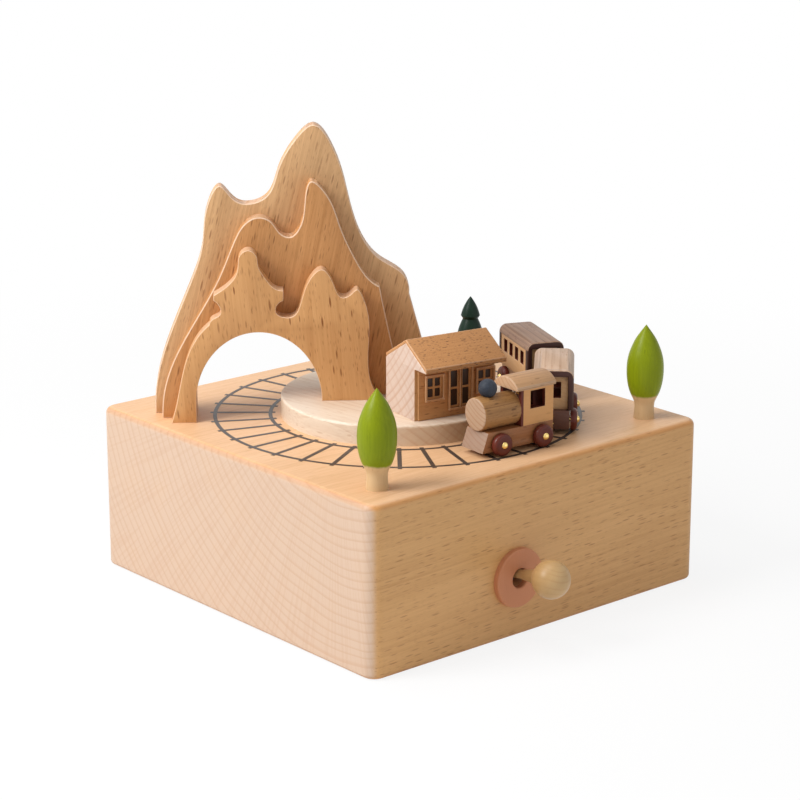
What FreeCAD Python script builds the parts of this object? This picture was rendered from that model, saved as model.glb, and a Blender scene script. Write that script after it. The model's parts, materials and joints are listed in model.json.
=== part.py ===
import FreeCAD
import Part
import Sketcher
import os
import re
from math import cos, pi, radians, sin, tan

# Wooden railway music box: a hollow block with a wind-up movement, a tunnel, a station and a drawn train.
# Frame: origin at the middle of the block's underside, +Z up, X and Y along the block's sides.

Vector = FreeCAD.Vector
doc = FreeCAD.newDocument("railway_music_box")
nodes = {}

# Driving dimensions, in millimetres and degrees.
SIZES = {
    # Wooden block
    "block_width": 125.0,
    "block_height": 49.2,
    "corner_radius": 4.0,
    "top_edge_radius": 2.0,
    "foot_edge_radius": 1.2,
    "block_wall": 8.0,
    "recess_corner": 5.0,
    "key_depth": 9.0,
    "board_thickness": 3.0,
    "board_gap": 0.25,
    "cavity_clearance": 0.6,
    "top_wall": 6.0,
    # Screws
    "screw_inset": 15.5,
    "screw_radius": 1.4,
    "screw_head_radius": 2.8,
    "screw_head_height": 1.4,
    "screw_length": 13.0,
    "small_screw_radius": 1.0,
    "small_head_radius": 1.9,
    "small_head_height": 1.0,
    "small_screw_length": 6.0,
    # Printed track
    "rail_inner_radius": 37.4,
    "rail_outer_radius": 53.6,
    "rail_width": 1.1,
    "tie_width": 1.2,
    "tie_count": 36,
    "tie_overhang": 0.9,
    "ink_thickness": 0.08,
    # Platform
    "platform_radius": 34.3,
    "platform_thickness": 6.0,
    "platform_edge_radius": 0.7,
    # Mountain boards
    "board_angle": 52.6,
    "mountain_thickness": 5.4,
    "mountain_face_distance": 7.8,
    "arch_distance": 40.6,
    "arch_half_width": 18.2,
    "arch_spring_height": 6.0,
    "arch_rise": 20.8,
    # Station
    "station_angle": 80.4,
    "station_length": 27.0,
    "station_depth": 15.6,
    "station_front_distance": 28.0,
    "station_start": -11.4,
    "porch_depth": 6.3,
    "porch_height": 15.2,
    "porch_tip": 0.4,
    "ridge_height": 21.9,
    "roof_sheet": 1.0,
    "panel_thickness": 0.6,
    "panel_margin": 1.0,
    "window_width": 5.4,
    "window_height": 6.7,
    "window_sill": 5.9,
    "near_window_inset": 3.5,
    "far_window_inset": 1.1,
    "door_start": 11.2,
    "door_leaf_width": 3.5,
    "door_leaf_gap": 0.3,
    "door_height": 11.4,
    "door_sill": 2.4,
    "bar_width": 0.6,
    # Trees
    "tree_inset": 11.5,
    "tree_height": 28.0,
    "tree_radius": 5.4,
    "stem_foot_radius": 3.1,
    "stem_neck_radius": 2.9,
    "stem_height": 6.5,
    "pine_offset": 29.0,
    "pine_inset": 7.5,
    "pine_height": 20.7,
    "pine_radius": 4.5,
    "pine_groove_radius": 2.35,
    "pine_upper_radius": 3.0,
    "pine_stem_radius": 2.4,
    "pine_stem_height": 4.5,
    # Movement: plates and barrel
    "bed_thickness": 2.0,
    "bed_back": 17.0,
    "bed_step": 1.4,
    "bed_comb_side": 27.5,
    "bed_far_side": 20.5,
    "bed_end_margin": 0.4,
    "post_thickness": 1.2,
    "post_half_width": 4.0,
    "post_gap": 0.6,
    "running_gap": 0.05,
    "barrel_lift": 1.0,
    "barrel_radius": 11.2,
    "barrel_wall": 0.8,
    "crown_inner_radius": 12.2,
    "crown_outer_radius": 15.2,
    "crown_teeth": 48,
    "crown_disc": 2.4,
    "crown_slot": 1.0,
    "output_radius": 3.0,
    "arbor_radius": 2.5,
    "arbor_pivot_radius": 1.5,
    "arbor_collar_radius": 4.0,
    "spring_strip": 0.35,
    "spring_turns": 7,
    "bridge_thickness": 1.2,
    "bridge_half_width": 4.5,
    "bridge_post_distance": 18.0,
    "bridge_post_radius": 2.0,
    "bridge_gap": 0.6,
    # Movement: magnet arm
    "magnet_radius": 4.5,
    "magnet_thickness": 3.0,
    "magnet_gap": 0.6,
    "magnet_rim": 0.7,
    "arm_thickness": 2.5,
    "arm_width": 8.0,
    "hub_radius": 5.0,
    "hub_drop": 0.5,
    "hub_rise": 1.0,
    "hub_gap": 0.8,
    # Movement: cylinder, comb and gear train
    "cylinder_lift": 10.0,
    "pinion_teeth": 12,
    "tooth_addendum": 0.45,
    "tooth_dedendum": 0.6,
    "drum_radius": 6.5,
    "drum_wall": 0.6,
    "drum_room": 27.3,
    "drum_gap": 0.8,
    "cylinder_arbor_radius": 1.0,
    "pin_radius": 0.18,
    "pin_height": 0.4,
    "pins_per_note": 3,
    "note_count": 18,
    "comb_thickness": 0.8,
    "comb_gap": 0.15,
    "comb_tooth_length": 11.5,
    "comb_slot": 0.3,
    "comb_seat": 8.0,
    "gear_module": 0.4,
    "gear_width": 1.2,
    "wheel_teeth": 36,
    "second_pinion_teeth": 10,
    "second_arbor_radius": 0.6,
    "worm_module": 0.36,
    "worm_wheel_teeth": 18,
    "worm_wheel_width": 1.6,
    "worm_wheel_space": 1.4,
    "worm_radius": 1.2,
    "worm_starts": 3,
    "worm_length": 4.0,
    "worm_backlash": 0.06,
    "worm_addendum": 0.28,
    "worm_dedendum": 0.4,
    "governor_shaft_radius": 0.5,
    "fan_radius": 3.6,
    "fan_height": 3.4,
    "fan_thickness": 0.6,
    "fan_gap": 0.4,
    "brake_disc_radius": 2.4,
    "brake_disc_thickness": 0.8,
    "brake_gap": 0.1,
    "bracket_half_width": 2.5,
    # Winding key
    "key_span": 8.0,
    "key_hole_radius": 1.6,
    "key_thickness": 2.0,
    "key_hub_radius": 3.6,
    "key_clearance": 0.9,
    "key_board_gap": 1.3,
    # Stop lever
    "lever_side": 10.3,
    "lever_height": 17.6,
    "lever_tilt": 8.2,
    "pivot_depth": 7.0,
    "pivot_pin_radius": 0.6,
    "washer_radius": 8.5,
    "peg_hole_gap": 0.22,
    "washer_thickness": 1.8,
    "washer_edge_radius": 0.5,
    "peg_ball_radius": 5.45,
    "peg_reach": 21.0,
    "peg_stem_radius": 1.3,
    "peg_neck_radius": 2.4,
    "peg_tail_radius": 1.8,
    "peg_tail": 4.0,
    "peg_shoulder": 3.0,
    "pocket_wall": 3.0,
    "pivot_cheek": 1.0,
    "pivot_half_gap": 3.0,
    "pivot_half_height": 5.0,
    "pocket_gap": 0.3,
    "wire_radius": 0.4,
    "wire_bend_radius": 1.2,
    "wire_socket": 2.5,
    "wire_gap": 1.4,
    # Train: running gear
    "wheel_radius": 3.25,
    "wheel_thickness": 1.9,
    "wheel_dome_radius": 1.1,
    "wheel_gap": 0.35,
    "axle_radius": 0.6,
    "axle_depth": 3.0,
    "nail_head_radius": 1.05,
    "nail_head_height": 0.7,
    "rolling_gap": 0.12,
    "chassis_width": 9.4,
    "chassis_bottom": 1.6,
    "chassis_height": 5.5,
    "coupling_wire": 0.35,
    "coupling_ring": 1.3,
    "coupling_rise": 3.0,
    "coupling_gap": 4.2,
    "coupling_gap_rear": 6.2,
    # Locomotive
    "loco_offset": 1.3,
    "loco_angle": 0.5,
    "loco_yaw": -4.5,
    "loco_length": 25.3,
    "catcher_slope": 2.0,
    "loco_front_axle": 6.5,
    "loco_rear_axle": 8.3,
    "boiler_radius": 4.75,
    "boiler_sink": 0.15,
    "boiler_nose": 1.0,
    "boiler_edge_radius": 0.5,
    "chimney_radius": 2.65,
    "chimney_setback": 4.4,
    "chimney_sink": 0.5,
    "chimney_peg_radius": 1.0,
    "chimney_peg_length": 2.5,
    "cab_length": 11.6,
    "cab_width": 9.4,
    "cab_height": 10.4,
    "cab_wall": 1.3,
    "cab_floor": 3.0,
    "cab_window_setback": 3.3,
    "cab_window_length": 5.3,
    "cab_window_rise": 4.6,
    "cab_roof_width": 10.6,
    "cab_roof_rise": 2.6,
    "cab_roof_edge": 0.9,
    "cab_roof_front": 2.0,
    "cab_roof_rear": 0.6,
    "loco_magnet_thickness": 2.0,
    # Coaches
    "coach_1_offset": 0.8,
    "coach_1_yaw": 9.0,
    "coach_2_offset": -0.7,
    "coach_2_yaw": -9.0,
    "coach_length": 24.8,
    "coach_width": 11.6,
    "coach_height": 11.9,
    "coach_axle": 8.0,
    "coach_wall": 1.2,
    "coach_wall_inset": 0.2,
    "coach_roof": 2.4,
    "coach_roof_corner": 2.3,
    "frame_thickness": 1.6,
    "frame_leg": 1.7,
    "coach_windows": 4,
    "coach_window_width": 2.9,
    "coach_window_pitch": 4.7,
    "coach_window_rise": 4.3,
    "coach_window_height": 4.0,
    "end_window_width": 4.4,
    "end_window_rise": 3.3,
    "end_window_height": 4.8,
}

# Places worked out from the driving dimensions.
PLACES = {
    "half_width": "block_width / 2",
    "ledge_z": "key_depth + board_thickness",
    "ceiling_z": "block_height - top_wall",
    "screw_x": "half_width - screw_inset",
    "recess_width": "block_width - 2 * block_wall",
    "board_width": "recess_width - 2 * board_gap",
    "track_radius": "(rail_inner_radius + rail_outer_radius) / 2",
    "loco_orbit": "track_radius + loco_offset",
    "coach_1_orbit": "track_radius + coach_1_offset",
    "coach_2_orbit": "track_radius + coach_2_offset",
    "platform_z": "block_height + platform_thickness",
    # Movement
    "key_lobe_radius": "(key_depth - key_clearance - key_board_gap) / 2",
    "bed_top": "ledge_z + bed_thickness",
    "barrel_z": "bed_top + barrel_lift",
    "magnet_z": "ceiling_z - magnet_gap - magnet_thickness",
    "arm_z": "magnet_z - arm_thickness",
    "hub_z": "arm_z - hub_drop",
    "bridge_z": "hub_z - hub_gap - small_head_height - bridge_thickness",
    "barrel_top": "bridge_z - bridge_gap",
    "crown_radius": "(crown_inner_radius + crown_outer_radius) / 2",
    "pinion_radius": "crown_radius * pinion_teeth / crown_teeth",
    "drum_z": "bed_top + cylinder_lift",
    "crown_z": "drum_z - pinion_radius",
    "crown_tip_z": "crown_z + tooth_addendum",
    "crown_root_z": "crown_z - tooth_dedendum",
    "crown_disc_z": "crown_root_z - crown_disc",
    "post_a_x": "crown_outer_radius + post_gap",
    "drum_x": "post_a_x + post_thickness + drum_gap",
    "drum_length": "half_width - crown_outer_radius - drum_room",
    "post_b_x": "drum_x + drum_length + drum_gap",
    "bed_main_end": "post_b_x + bed_step",
    "train_wheel_x": "post_b_x + post_thickness + post_gap",
    "worm_wheel_x": "train_wheel_x + gear_width + worm_wheel_space",
    "post_c_x": "worm_wheel_x + worm_wheel_width + drum_gap + 0.2",
    "bed_end_x": "post_c_x + post_thickness + bed_end_margin",
    "second_y": "gear_module * (wheel_teeth + second_pinion_teeth) / 2",
    "worm_wheel_radius": "worm_module * worm_wheel_teeth / 2",
    "worm_x": "worm_wheel_x + worm_wheel_width / 2",
    "worm_y": "second_y + worm_wheel_radius + worm_radius + worm_backlash",
    "bracket_y": "worm_y + fan_radius + post_gap",
    "bracket_top": "barrel_top",
    "bed_near_y": "-post_half_width - 2",
    "bed_far_y": "bed_near_y + bracket_y + post_thickness + post_half_width + 2",
    "wire_run_x": "bed_end_x + wire_gap",
    "bed_reach": "hypot(bed_end_x; bed_far_y)",
    "wire_corner_reach": "hypot(wire_run_x + wire_radius; worm_y)",
    "magnet_reach": "loco_orbit + magnet_radius + magnet_rim",
    "cavity_radius": "max(magnet_reach; bed_reach; wire_corner_reach) + cavity_clearance",
    "comb_z": "drum_z - comb_thickness / 2",
    "comb_tip_y": "drum_radius + pin_height + comb_gap",
    "comb_root_y": "comb_tip_y + comb_tooth_length",
    "comb_back_y": "comb_root_y + comb_seat",
    "note_pitch": "drum_length / note_count",
    # Stop lever
    "pivot_x": "max(half_width - pivot_depth; wire_run_x + wire_bend_radius + peg_tail)",
    "peg_lean": "(half_width - pivot_x + washer_thickness) * tan(lever_tilt)",
    "washer_hole_radius": "peg_lean + peg_stem_radius + peg_hole_gap",
    "wire_outer_run": "pivot_x - wire_run_x",
    "pocket_end_x": "half_width - pocket_wall",
    "pocket_half_width": "pivot_half_gap + pivot_cheek + pocket_gap",
    "pocket_top_z": "lever_height + pivot_half_height + pocket_gap",
    "wire_reach": "pivot_x - worm_x - brake_disc_radius * 0.6",
    "brake_z": "lever_height + wire_reach * sin(lever_tilt) + wire_radius + brake_gap",
    # Train
    "chassis_top": "chassis_bottom + chassis_height",
    "coupling_height": "chassis_bottom + coupling_rise",
    "boiler_axis_height": "chassis_top + boiler_radius - boiler_sink",
    "cab_top": "chassis_top + cab_height",
    "cab_window_sill": "chassis_top + cab_window_rise",
    "coach_top": "chassis_top + coach_height",
    "coach_window_sill": "chassis_top + coach_window_rise",
    "end_window_sill": "chassis_top + end_window_rise",
    "wheel_z": "ink_thickness + rolling_gap + wheel_radius",
    "wheel_side": "chassis_width / 2 + wheel_gap",
    "cab_front": "cab_length - loco_length / 2",
    "boiler_front": "loco_length / 2 - boiler_nose",
    "loco_turn": "loco_angle - 90 + loco_yaw",
    "coach_1_angle": "loco_angle + ((loco_length + coach_length) / 2 + coupling_gap) / loco_orbit * 180 / pi",
    "coach_1_turn": "coach_1_angle - 90 + coach_1_yaw",
    "coach_2_angle": "coach_1_angle + (coach_length + coupling_gap_rear) / coach_2_orbit * 180 / pi",
    "coach_2_turn": "coach_2_angle - 90 + coach_2_yaw",
    "loco_x": "loco_orbit * cos(loco_angle)",
    "loco_y": "loco_orbit * sin(loco_angle)",
    "coach_1_x": "coach_1_orbit * cos(coach_1_angle)",
    "coach_1_y": "coach_1_orbit * sin(coach_1_angle)",
    "coach_2_x": "coach_2_orbit * cos(coach_2_angle)",
    "coach_2_y": "coach_2_orbit * sin(coach_2_angle)",
}


def bound(text):
    """Return an expression with the sheet's name written before each of its sizes."""
    def full_name(match):
        word = match.group()
        if word in SIZES:
            return "sizes." + word
        return "places." + word if word in PLACES else word
    return re.sub(r"[a-z][a-z_0-9]*", full_name, str(text))


sizes = doc.addObject("Spreadsheet::Sheet", "sizes")
for row, (name, value) in enumerate(SIZES.items(), start=1):
    sizes.set("A%d" % row, name)
    sizes.set("B%d" % row, str(value))
    sizes.setAlias("B%d" % row, name)
places = doc.addObject("Spreadsheet::Sheet", "places")
workings = doc.addObject("Spreadsheet::Sheet", "workings")
for row, (name, formula) in enumerate(PLACES.items(), start=1):
    places.set("A%d" % row, name)
    places.setAlias("B%d" % row, name)
    places.set("B%d" % row, "=" + bound(formula))
doc.recompute()


def size(name):
    """Return one driving dimension or worked-out place as a number."""
    return float((sizes if name in SIZES else places).get(name))


def number(text):
    """Return the value of an expression by way of a spare cell."""
    workings.set("A1", "=" + bound(text))
    workings.recompute()
    return float(workings.get("A1"))


def bind(obj, **expressions):
    """Bind properties of an object to expressions in the sheet's names."""
    for prop, text in expressions.items():
        obj.setExpression(prop.replace("__", "."), bound(text))


def place(obj, x="0", y="0", z="0", axis=(0, 0, 1), turn="0"):
    """Bind an object's place and its turn about one axis."""
    obj.Placement = FreeCAD.Placement(Vector(), FreeCAD.Rotation(Vector(*axis), number(turn)))
    for letter, text in zip("xyz", (x, y, z)):
        obj.setExpression("Placement.Base." + letter, bound(text))
    if number(turn):
        obj.setExpression("Placement.Rotation.Angle", bound(turn))
    return obj


def node(name, obj):
    """Keep an object as one named piece of the music box."""
    obj.Label = name
    nodes[name] = obj
    return obj


# Part primitives and booleans with bound sizes.
def box(name, start, extent):
    """Box from its lowest corner and its three extents."""
    solid = doc.addObject("Part::Box", name)
    bind(solid, Length=extent[0], Width=extent[1], Height=extent[2])
    return place(solid, *start)


def rod(name, radius, length, start, along="z"):
    """Cylinder from the middle of its first end, along one axis."""
    solid = doc.addObject("Part::Cylinder", name)
    bind(solid, Radius=radius, Height=length)
    axis, turn = {"x": ((0, 1, 0), "90"), "y": ((1, 0, 0), "-90"), "z": ((0, 0, 1), "0")}[along]
    return place(solid, *start, axis=axis, turn=turn)


def fuse(name, parts):
    """Union of several objects."""
    solid = doc.addObject("Part::MultiFuse", name)
    solid.Shapes = parts
    return solid


def cut(name, base, tools):
    """One object less several others."""
    solid = doc.addObject("Part::Cut", name)
    solid.Base = base
    solid.Tool = tools[0] if len(tools) == 1 else fuse(name + "_cutters", tools)
    return solid


def fixed_shape(name, shape, placement=None):
    """Piece whose shape is worked out from the sheet by this script."""
    solid = doc.addObject("Part::Feature", name)
    solid.Shape = shape
    if placement:
        solid.Placement = placement
    return node(name, solid)


# Bodies with sketches and features.
def new_body(name):
    """Empty body."""
    return doc.addObject("PartDesign::Body", name)


def new_sketch(body, plane, lift="0"):
    """Sketch on one of the body's own origin planes, lifted off it along its normal."""
    sketch = body.newObject("Sketcher::SketchObject", body.Name + "_sketch")
    origin_plane = [item for item in body.Origin.OriginFeatures if item.Role == plane][0]
    sketch.AttachmentSupport = [(origin_plane, "")]
    sketch.MapMode = "FlatFace"
    if lift != "0":
        sketch.setExpression("AttachmentOffset.Base.z", bound(lift))
    return sketch


def hold(sketch, kind, geometry, vertex, text):
    """Constrain one coordinate of a sketch point to an expression."""
    value = number(text)
    if abs(value) < 1e-9:
        axis = -2 if kind == "DistanceX" else -1
        sketch.addConstraint(Sketcher.Constraint("PointOnObject", geometry, vertex, axis))
        return
    index = sketch.addConstraint(Sketcher.Constraint(kind, -1, 1, geometry, vertex, value))
    sketch.setExpression("Constraints[%d]" % index, bound(text))


def polygon(sketch, points):
    """Closed outline of straight lines, each corner bound to two expressions."""
    corners = [Vector(number(x), number(y), 0) for x, y in points]
    first = sketch.GeometryCount
    count = len(points)
    for i in range(count):
        sketch.addGeometry(Part.LineSegment(corners[i], corners[(i + 1) % count]))
    for i in range(count):
        follower = first + (i + 1) % count
        sketch.addConstraint(Sketcher.Constraint("Coincident", first + i, 2, follower, 1))
    for i, (x, y) in enumerate(points):
        hold(sketch, "DistanceX", first + i, 1, x)
        hold(sketch, "DistanceY", first + i, 1, y)
    return sketch


def rectangle(sketch, x0, x1, y0, y1):
    """Rectangle between two bound corners."""
    return polygon(sketch, [(x0, y0), (x1, y0), (x1, y1), (x0, y1)])


def circle(sketch, x, y, radius):
    """Circle with a bound centre and radius."""
    centre = Vector(number(x), number(y), 0)
    index = sketch.addGeometry(Part.Circle(centre, Vector(0, 0, 1), number(radius)))
    hold(sketch, "DistanceX", index, 3, x)
    hold(sketch, "DistanceY", index, 3, y)
    ring = sketch.addConstraint(Sketcher.Constraint("Radius", index, number(radius)))
    sketch.setExpression("Constraints[%d]" % ring, bound(radius))
    return sketch


def extrude(kind, body, sketch, length, both_ways=False, backwards=False):
    """Pad or pocket of a sketch."""
    feature = body.newObject("PartDesign::" + kind, body.Name + "_" + kind.lower())
    feature.Profile = sketch
    feature.SideType = "Symmetric" if both_ways else "One side"
    feature.Reversed = backwards
    bind(feature, Length=length)
    sketch.Visibility = False
    doc.recompute()
    return feature


def revolve(body, sketch, axis="V_Axis"):
    """Full turn of a sketch about one of its own axes."""
    feature = body.newObject("PartDesign::Revolution", body.Name + "_turned")
    feature.Profile = sketch
    feature.ReferenceAxis = (sketch, [axis])
    feature.Angle = 360
    doc.recompute()
    return feature


def fillet(body, radius, chosen):
    """Round the edges of a body that a test picks out."""
    base = body.Tip
    names = ["Edge%d" % i for i, edge in enumerate(base.Shape.Edges, start=1) if chosen(edge)]
    feature = body.newObject("PartDesign::Fillet", body.Name + "_fillet")
    feature.Base = (base, names)
    bind(feature, Radius=radius)
    doc.recompute()
    return feature


def polar(body, feature, count):
    """Repeat a feature about the body's Z axis."""
    pattern = body.newObject("PartDesign::PolarPattern", body.Name + "_ring")
    pattern.Originals = [feature]
    pattern.Axis = ([item for item in body.Origin.OriginFeatures if item.Role == "Z_Axis"][0], [""])
    pattern.Angle = 360
    bind(pattern, Occurrences=count)
    body.Tip = pattern
    doc.recompute()
    return pattern


def at_height(z):
    """Test for edges that lie flat at one height."""
    return lambda edge: abs(edge.BoundBox.ZMin - z) < 1e-4 and abs(edge.BoundBox.ZMax - z) < 1e-4


def upright(edge):
    """Test for straight upright edges."""
    return edge.BoundBox.XLength < 1e-4 and edge.BoundBox.YLength < 1e-4


# Curves for shapes that are worked out in numbers.
def curve(points):
    """Smooth edge through two or more points."""
    if len(points) == 2:
        return Part.LineSegment(points[0], points[1]).toShape()
    spline = Part.BSplineCurve()
    spline.interpolate(points)
    return spline.toShape()


def turned(stretches):
    """Solid of revolution about Z from joined stretches of (radius, height) points."""
    edges = [curve([Vector(r, 0, z) for r, z in stretch]) for stretch in stretches]
    bottom, top = stretches[0][0][1], stretches[-1][-1][1]
    edges.append(Part.LineSegment(Vector(0, 0, top), Vector(0, 0, bottom)).toShape())
    edges.append(Part.LineSegment(Vector(0, 0, bottom), Vector(stretches[0][0][0], 0, bottom)).toShape())
    return Part.Face(Part.Wire(Part.__sortEdges__(edges))).revolve(Vector(), Vector(0, 0, 1), 360)


def bent_wire(points, bend, radius):
    """Round wire along straight runs that are joined by tangent arcs."""
    edges = []
    last = points[0]
    for before, corner, after in zip(points, points[1:], points[2:]):
        come, leave = (corner - before).normalize(), (after - corner).normalize()
        half_turn = come.getAngle(leave) / 2
        reach = bend * tan(half_turn)
        inward = (leave - come).normalize()
        middle = corner + inward * (bend / cos(half_turn) - bend)
        start, end = corner - come * reach, corner + leave * reach
        edges += [Part.LineSegment(last, start).toShape(), Part.Arc(start, middle, end).toShape()]
        last = end
    edges.append(Part.LineSegment(last, points[-1]).toShape())
    ring = Part.Wire(Part.Circle(points[0], points[1] - points[0], radius).toShape())
    return Part.Wire(edges).makePipeShell([ring], True, False)


def gear_points(teeth, pitch_radius, addendum, dedendum, fill, first_angle):
    """Corners (angle, radius) of a gear outline, four to a tooth, narrowing to the tip."""
    half = fill * pi / teeth
    corners = []
    for i in range(teeth):
        middle = first_angle + 2 * pi * i / teeth
        corners.append((middle - 1.35 * half, pitch_radius - dedendum))
        corners.append((middle - 0.5 * half, pitch_radius + addendum))
        corners.append((middle + 0.5 * half, pitch_radius + addendum))
        corners.append((middle + 1.35 * half, pitch_radius - dedendum))
    return corners


def ring_wire(corners, x, twist=0.0):
    """Closed outline in a plane square to X, angles counted from +Y towards +Z."""
    points = [Vector(x, r * cos(a + twist), r * sin(a + twist)) for a, r in corners]
    return Part.makePolygon(points + points[:1])


def gear_along_x(corners, x, width):
    """Gear with its axis on X."""
    return Part.Face(ring_wire(corners, x)).extrude(Vector(width, 0, 0))


# Block, board and screws
def make_block():
    """Square block with a round cavity for the movement and a square recess for the board and key."""
    body = new_body("base_block")
    outline = rectangle(new_sketch(body, "XY_Plane"), "-half_width", "half_width", "-half_width",
                        "half_width")
    extrude("Pad", body, outline, "block_height")
    fillet(body, "corner_radius", upright)
    fillet(body, "top_edge_radius", at_height(size("block_height")))
    fillet(body, "foot_edge_radius", at_height(0))
    half = "recess_width / 2"
    recess = rectangle(new_sketch(body, "XY_Plane"), "-" + half, half, "-" + half, half)
    extrude("Pocket", body, recess, "ledge_z", backwards=True)
    wall = size("recess_width") / 2
    fillet(body, "recess_corner", lambda e: upright(e) and abs(abs(e.BoundBox.XMax) - wall) < 1e-4)
    cavity = circle(new_sketch(body, "XY_Plane", "ledge_z"), "0", "0", "cavity_radius")
    extrude("Pocket", body, cavity, "ceiling_z - ledge_z", backwards=True)
    pocket = new_sketch(body, "XY_Plane", "ledge_z")
    rectangle(pocket, "cavity_radius - 8", "pocket_end_x", "-lever_side - pocket_half_width",
              "pocket_half_width - lever_side")
    extrude("Pocket", body, pocket, "pocket_top_z - ledge_z", backwards=True)
    hole = circle(new_sketch(body, "YZ_Plane", "pocket_end_x - 1"), "-lever_side", "lever_height",
                  "washer_hole_radius")
    extrude("Pocket", body, hole, "pocket_wall + 2", backwards=True)
    pilot = circle(new_sketch(body, "XY_Plane", "ledge_z"), "screw_x", "screw_x", "screw_radius")
    polar(body, extrude("Pocket", body, pilot, "screw_length - board_thickness", backwards=True), "4")
    node("base_block", body)


def movement_screw_places():
    """Middles of the three screws that hold the bedplate to the board."""
    back = -size("bed_back") + 3.5
    comb_side = -size("bed_comb_side") + 3.5
    return [(back, size("bed_far_side") - 3.5), (back, comb_side), (size("bed_main_end") - 4, comb_side)]


def make_board():
    """Board that closes the cavity from below, with holes for the arbor and the screws."""
    body = new_body("bottom_board")
    half = "board_width / 2"
    outline = rectangle(new_sketch(body, "XY_Plane", "key_depth"), "-" + half, half, "-" + half, half)
    extrude("Pad", body, outline, "board_thickness")
    fillet(body, "recess_corner", upright)
    arbor_hole = circle(new_sketch(body, "XY_Plane", "key_depth"), "0", "0", "arbor_radius + 0.5")
    extrude("Pocket", body, arbor_hole, "board_thickness", backwards=True)
    screw_hole = circle(new_sketch(body, "XY_Plane", "key_depth"), "screw_x", "screw_x", "screw_radius")
    polar(body, extrude("Pocket", body, screw_hole, "board_thickness", backwards=True), "4")
    head_hole = circle(new_sketch(body, "XY_Plane", "key_depth"), "screw_x", "screw_x", "screw_head_radius")
    polar(body, extrude("Pocket", body, head_hole, "screw_head_height", backwards=True), "4")
    for x, y in (("3.5 - bed_back", "bed_far_side - 3.5"), ("3.5 - bed_back", "3.5 - bed_comb_side"),
                 ("bed_main_end - 4", "3.5 - bed_comb_side")):
        shank = circle(new_sketch(body, "XY_Plane", "key_depth"), x, y, "small_screw_radius")
        extrude("Pocket", body, shank, "board_thickness", backwards=True)
        head = circle(new_sketch(body, "XY_Plane", "key_depth"), x, y, "small_head_radius")
        extrude("Pocket", body, head, "small_head_height", backwards=True)
    node("bottom_board", body)


def screw(at, head_radius, head_height, radius, length):
    """Cheese-head screw with its head's outer face at a point and its shank along +Z."""
    head = Part.makeCylinder(head_radius, head_height, at)
    return head.fuse(Part.makeCylinder(radius, length, at)).removeSplitter()


def make_screws():
    """All screws of the box: four in the board, three under the bedplate, two in comb and two in bridge."""
    x = size("screw_x")
    wood = [size("screw_" + part) for part in ("head_radius", "head_height", "radius", "length")]
    small = [size("small_head_radius"), size("small_head_height"), size("small_screw_radius")]
    low = size("key_depth")
    solids = [screw(Vector(a, b, low), *wood) for a in (-x, x) for b in (-x, x)]
    reach = size("board_thickness") + size("bed_thickness")
    solids += [screw(Vector(a, b, low), *small, reach) for a, b in movement_screw_places()]
    comb_top = size("comb_z") + size("comb_thickness") + size("small_head_height")
    middle = size("drum_x") + size("drum_length") / 2
    y = -size("comb_root_y") - size("comb_seat") / 2
    tops = [Vector(middle + side * size("drum_length") / 4, y, comb_top) for side in (-1, 1)]
    bridge_top = size("bridge_z") + size("bridge_thickness") + size("small_head_height")
    tops += [Vector(0, side * size("bridge_post_distance"), bridge_top) for side in (-1, 1)]
    flip = FreeCAD.Rotation(Vector(1, 0, 0), 180)
    for top in tops:
        solid = screw(Vector(), *small, size("small_screw_length"))
        solid.Placement = FreeCAD.Placement(top, flip)
        solids.append(solid)
    fixed_shape("screws", Part.makeCompound(solids))


# Track, platform, mountains, station and trees
def make_track():
    """Thin ink on the block's top: two rails and the sleepers between them."""
    z, ink = size("block_height"), size("ink_thickness")
    half = size("rail_width") / 2
    rings = []
    for radius in (size("rail_inner_radius"), size("rail_outer_radius")):
        outer = Part.makeCylinder(radius + half, ink, Vector(0, 0, z))
        rings.append(outer.cut(Part.makeCylinder(radius - half, ink, Vector(0, 0, z))))
    inner = size("rail_inner_radius") - half - size("tie_overhang")
    outer = size("rail_outer_radius") + half + size("tie_overhang")
    width, count = size("tie_width"), int(size("tie_count"))
    for i in range(count):
        tie = Part.makeBox(outer - inner, width, ink, Vector(inner, -width / 2, z))
        tie.rotate(Vector(), Vector(0, 0, 1), 360.0 * i / count)
        rings.append(tie)
    fixed_shape("printed_track", rings[0].multiFuse(rings[1:]).removeSplitter())


def make_platform():
    """Round step on the block, with an eased upper edge."""
    body = new_body("platform")
    disc = circle(new_sketch(body, "XY_Plane", "block_height"), "0", "0", "platform_radius")
    extrude("Pad", body, disc, "platform_thickness")
    fillet(body, "platform_edge_radius", at_height(size("platform_z")))
    node("platform", body)


# Upper outlines of the mountain boards, from the outer foot to the inner one.
# Each stretch is a smooth line; distances run along the board from the block's axis, heights from its top.
BACK_OUTLINE = [
    [(-71, 0), (-66, 24.5), (-60, 39), (-56.4, 50), (-54.6, 62), (-51, 67.5), (-46.6, 63.2), (-42, 62.3),
     (-37.4, 64.5),
     (-34.4, 71.4), (-29, 81), (-24, 85), (-18.6, 79), (-14.4, 66.2), (-10.6, 53.2), (-5, 45.6), (1, 41.7),
     (3.6, 35)],
    [(3.6, 35), (6, 26), (11.5, 6)],
]
MIDDLE_OUTLINE = [
    [(-68.8, 0), (-64.6, 18.4), (-58, 30.2), (-51, 43), (-47, 52.6), (-44, 57.4), (-40.4, 59.3), (-36.4, 58),
     (-33.6, 54.4), (-31, 53.5), (-28.4, 56), (-26.7, 64), (-24.9, 69.6), (-20.6, 66), (-16.7, 56.7),
     (-12, 46.2),
     (-8.4, 40.8), (-5.3, 38.5)],
    [(-5.3, 38.5), (-3, 27), (2, 6)],
]
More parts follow.
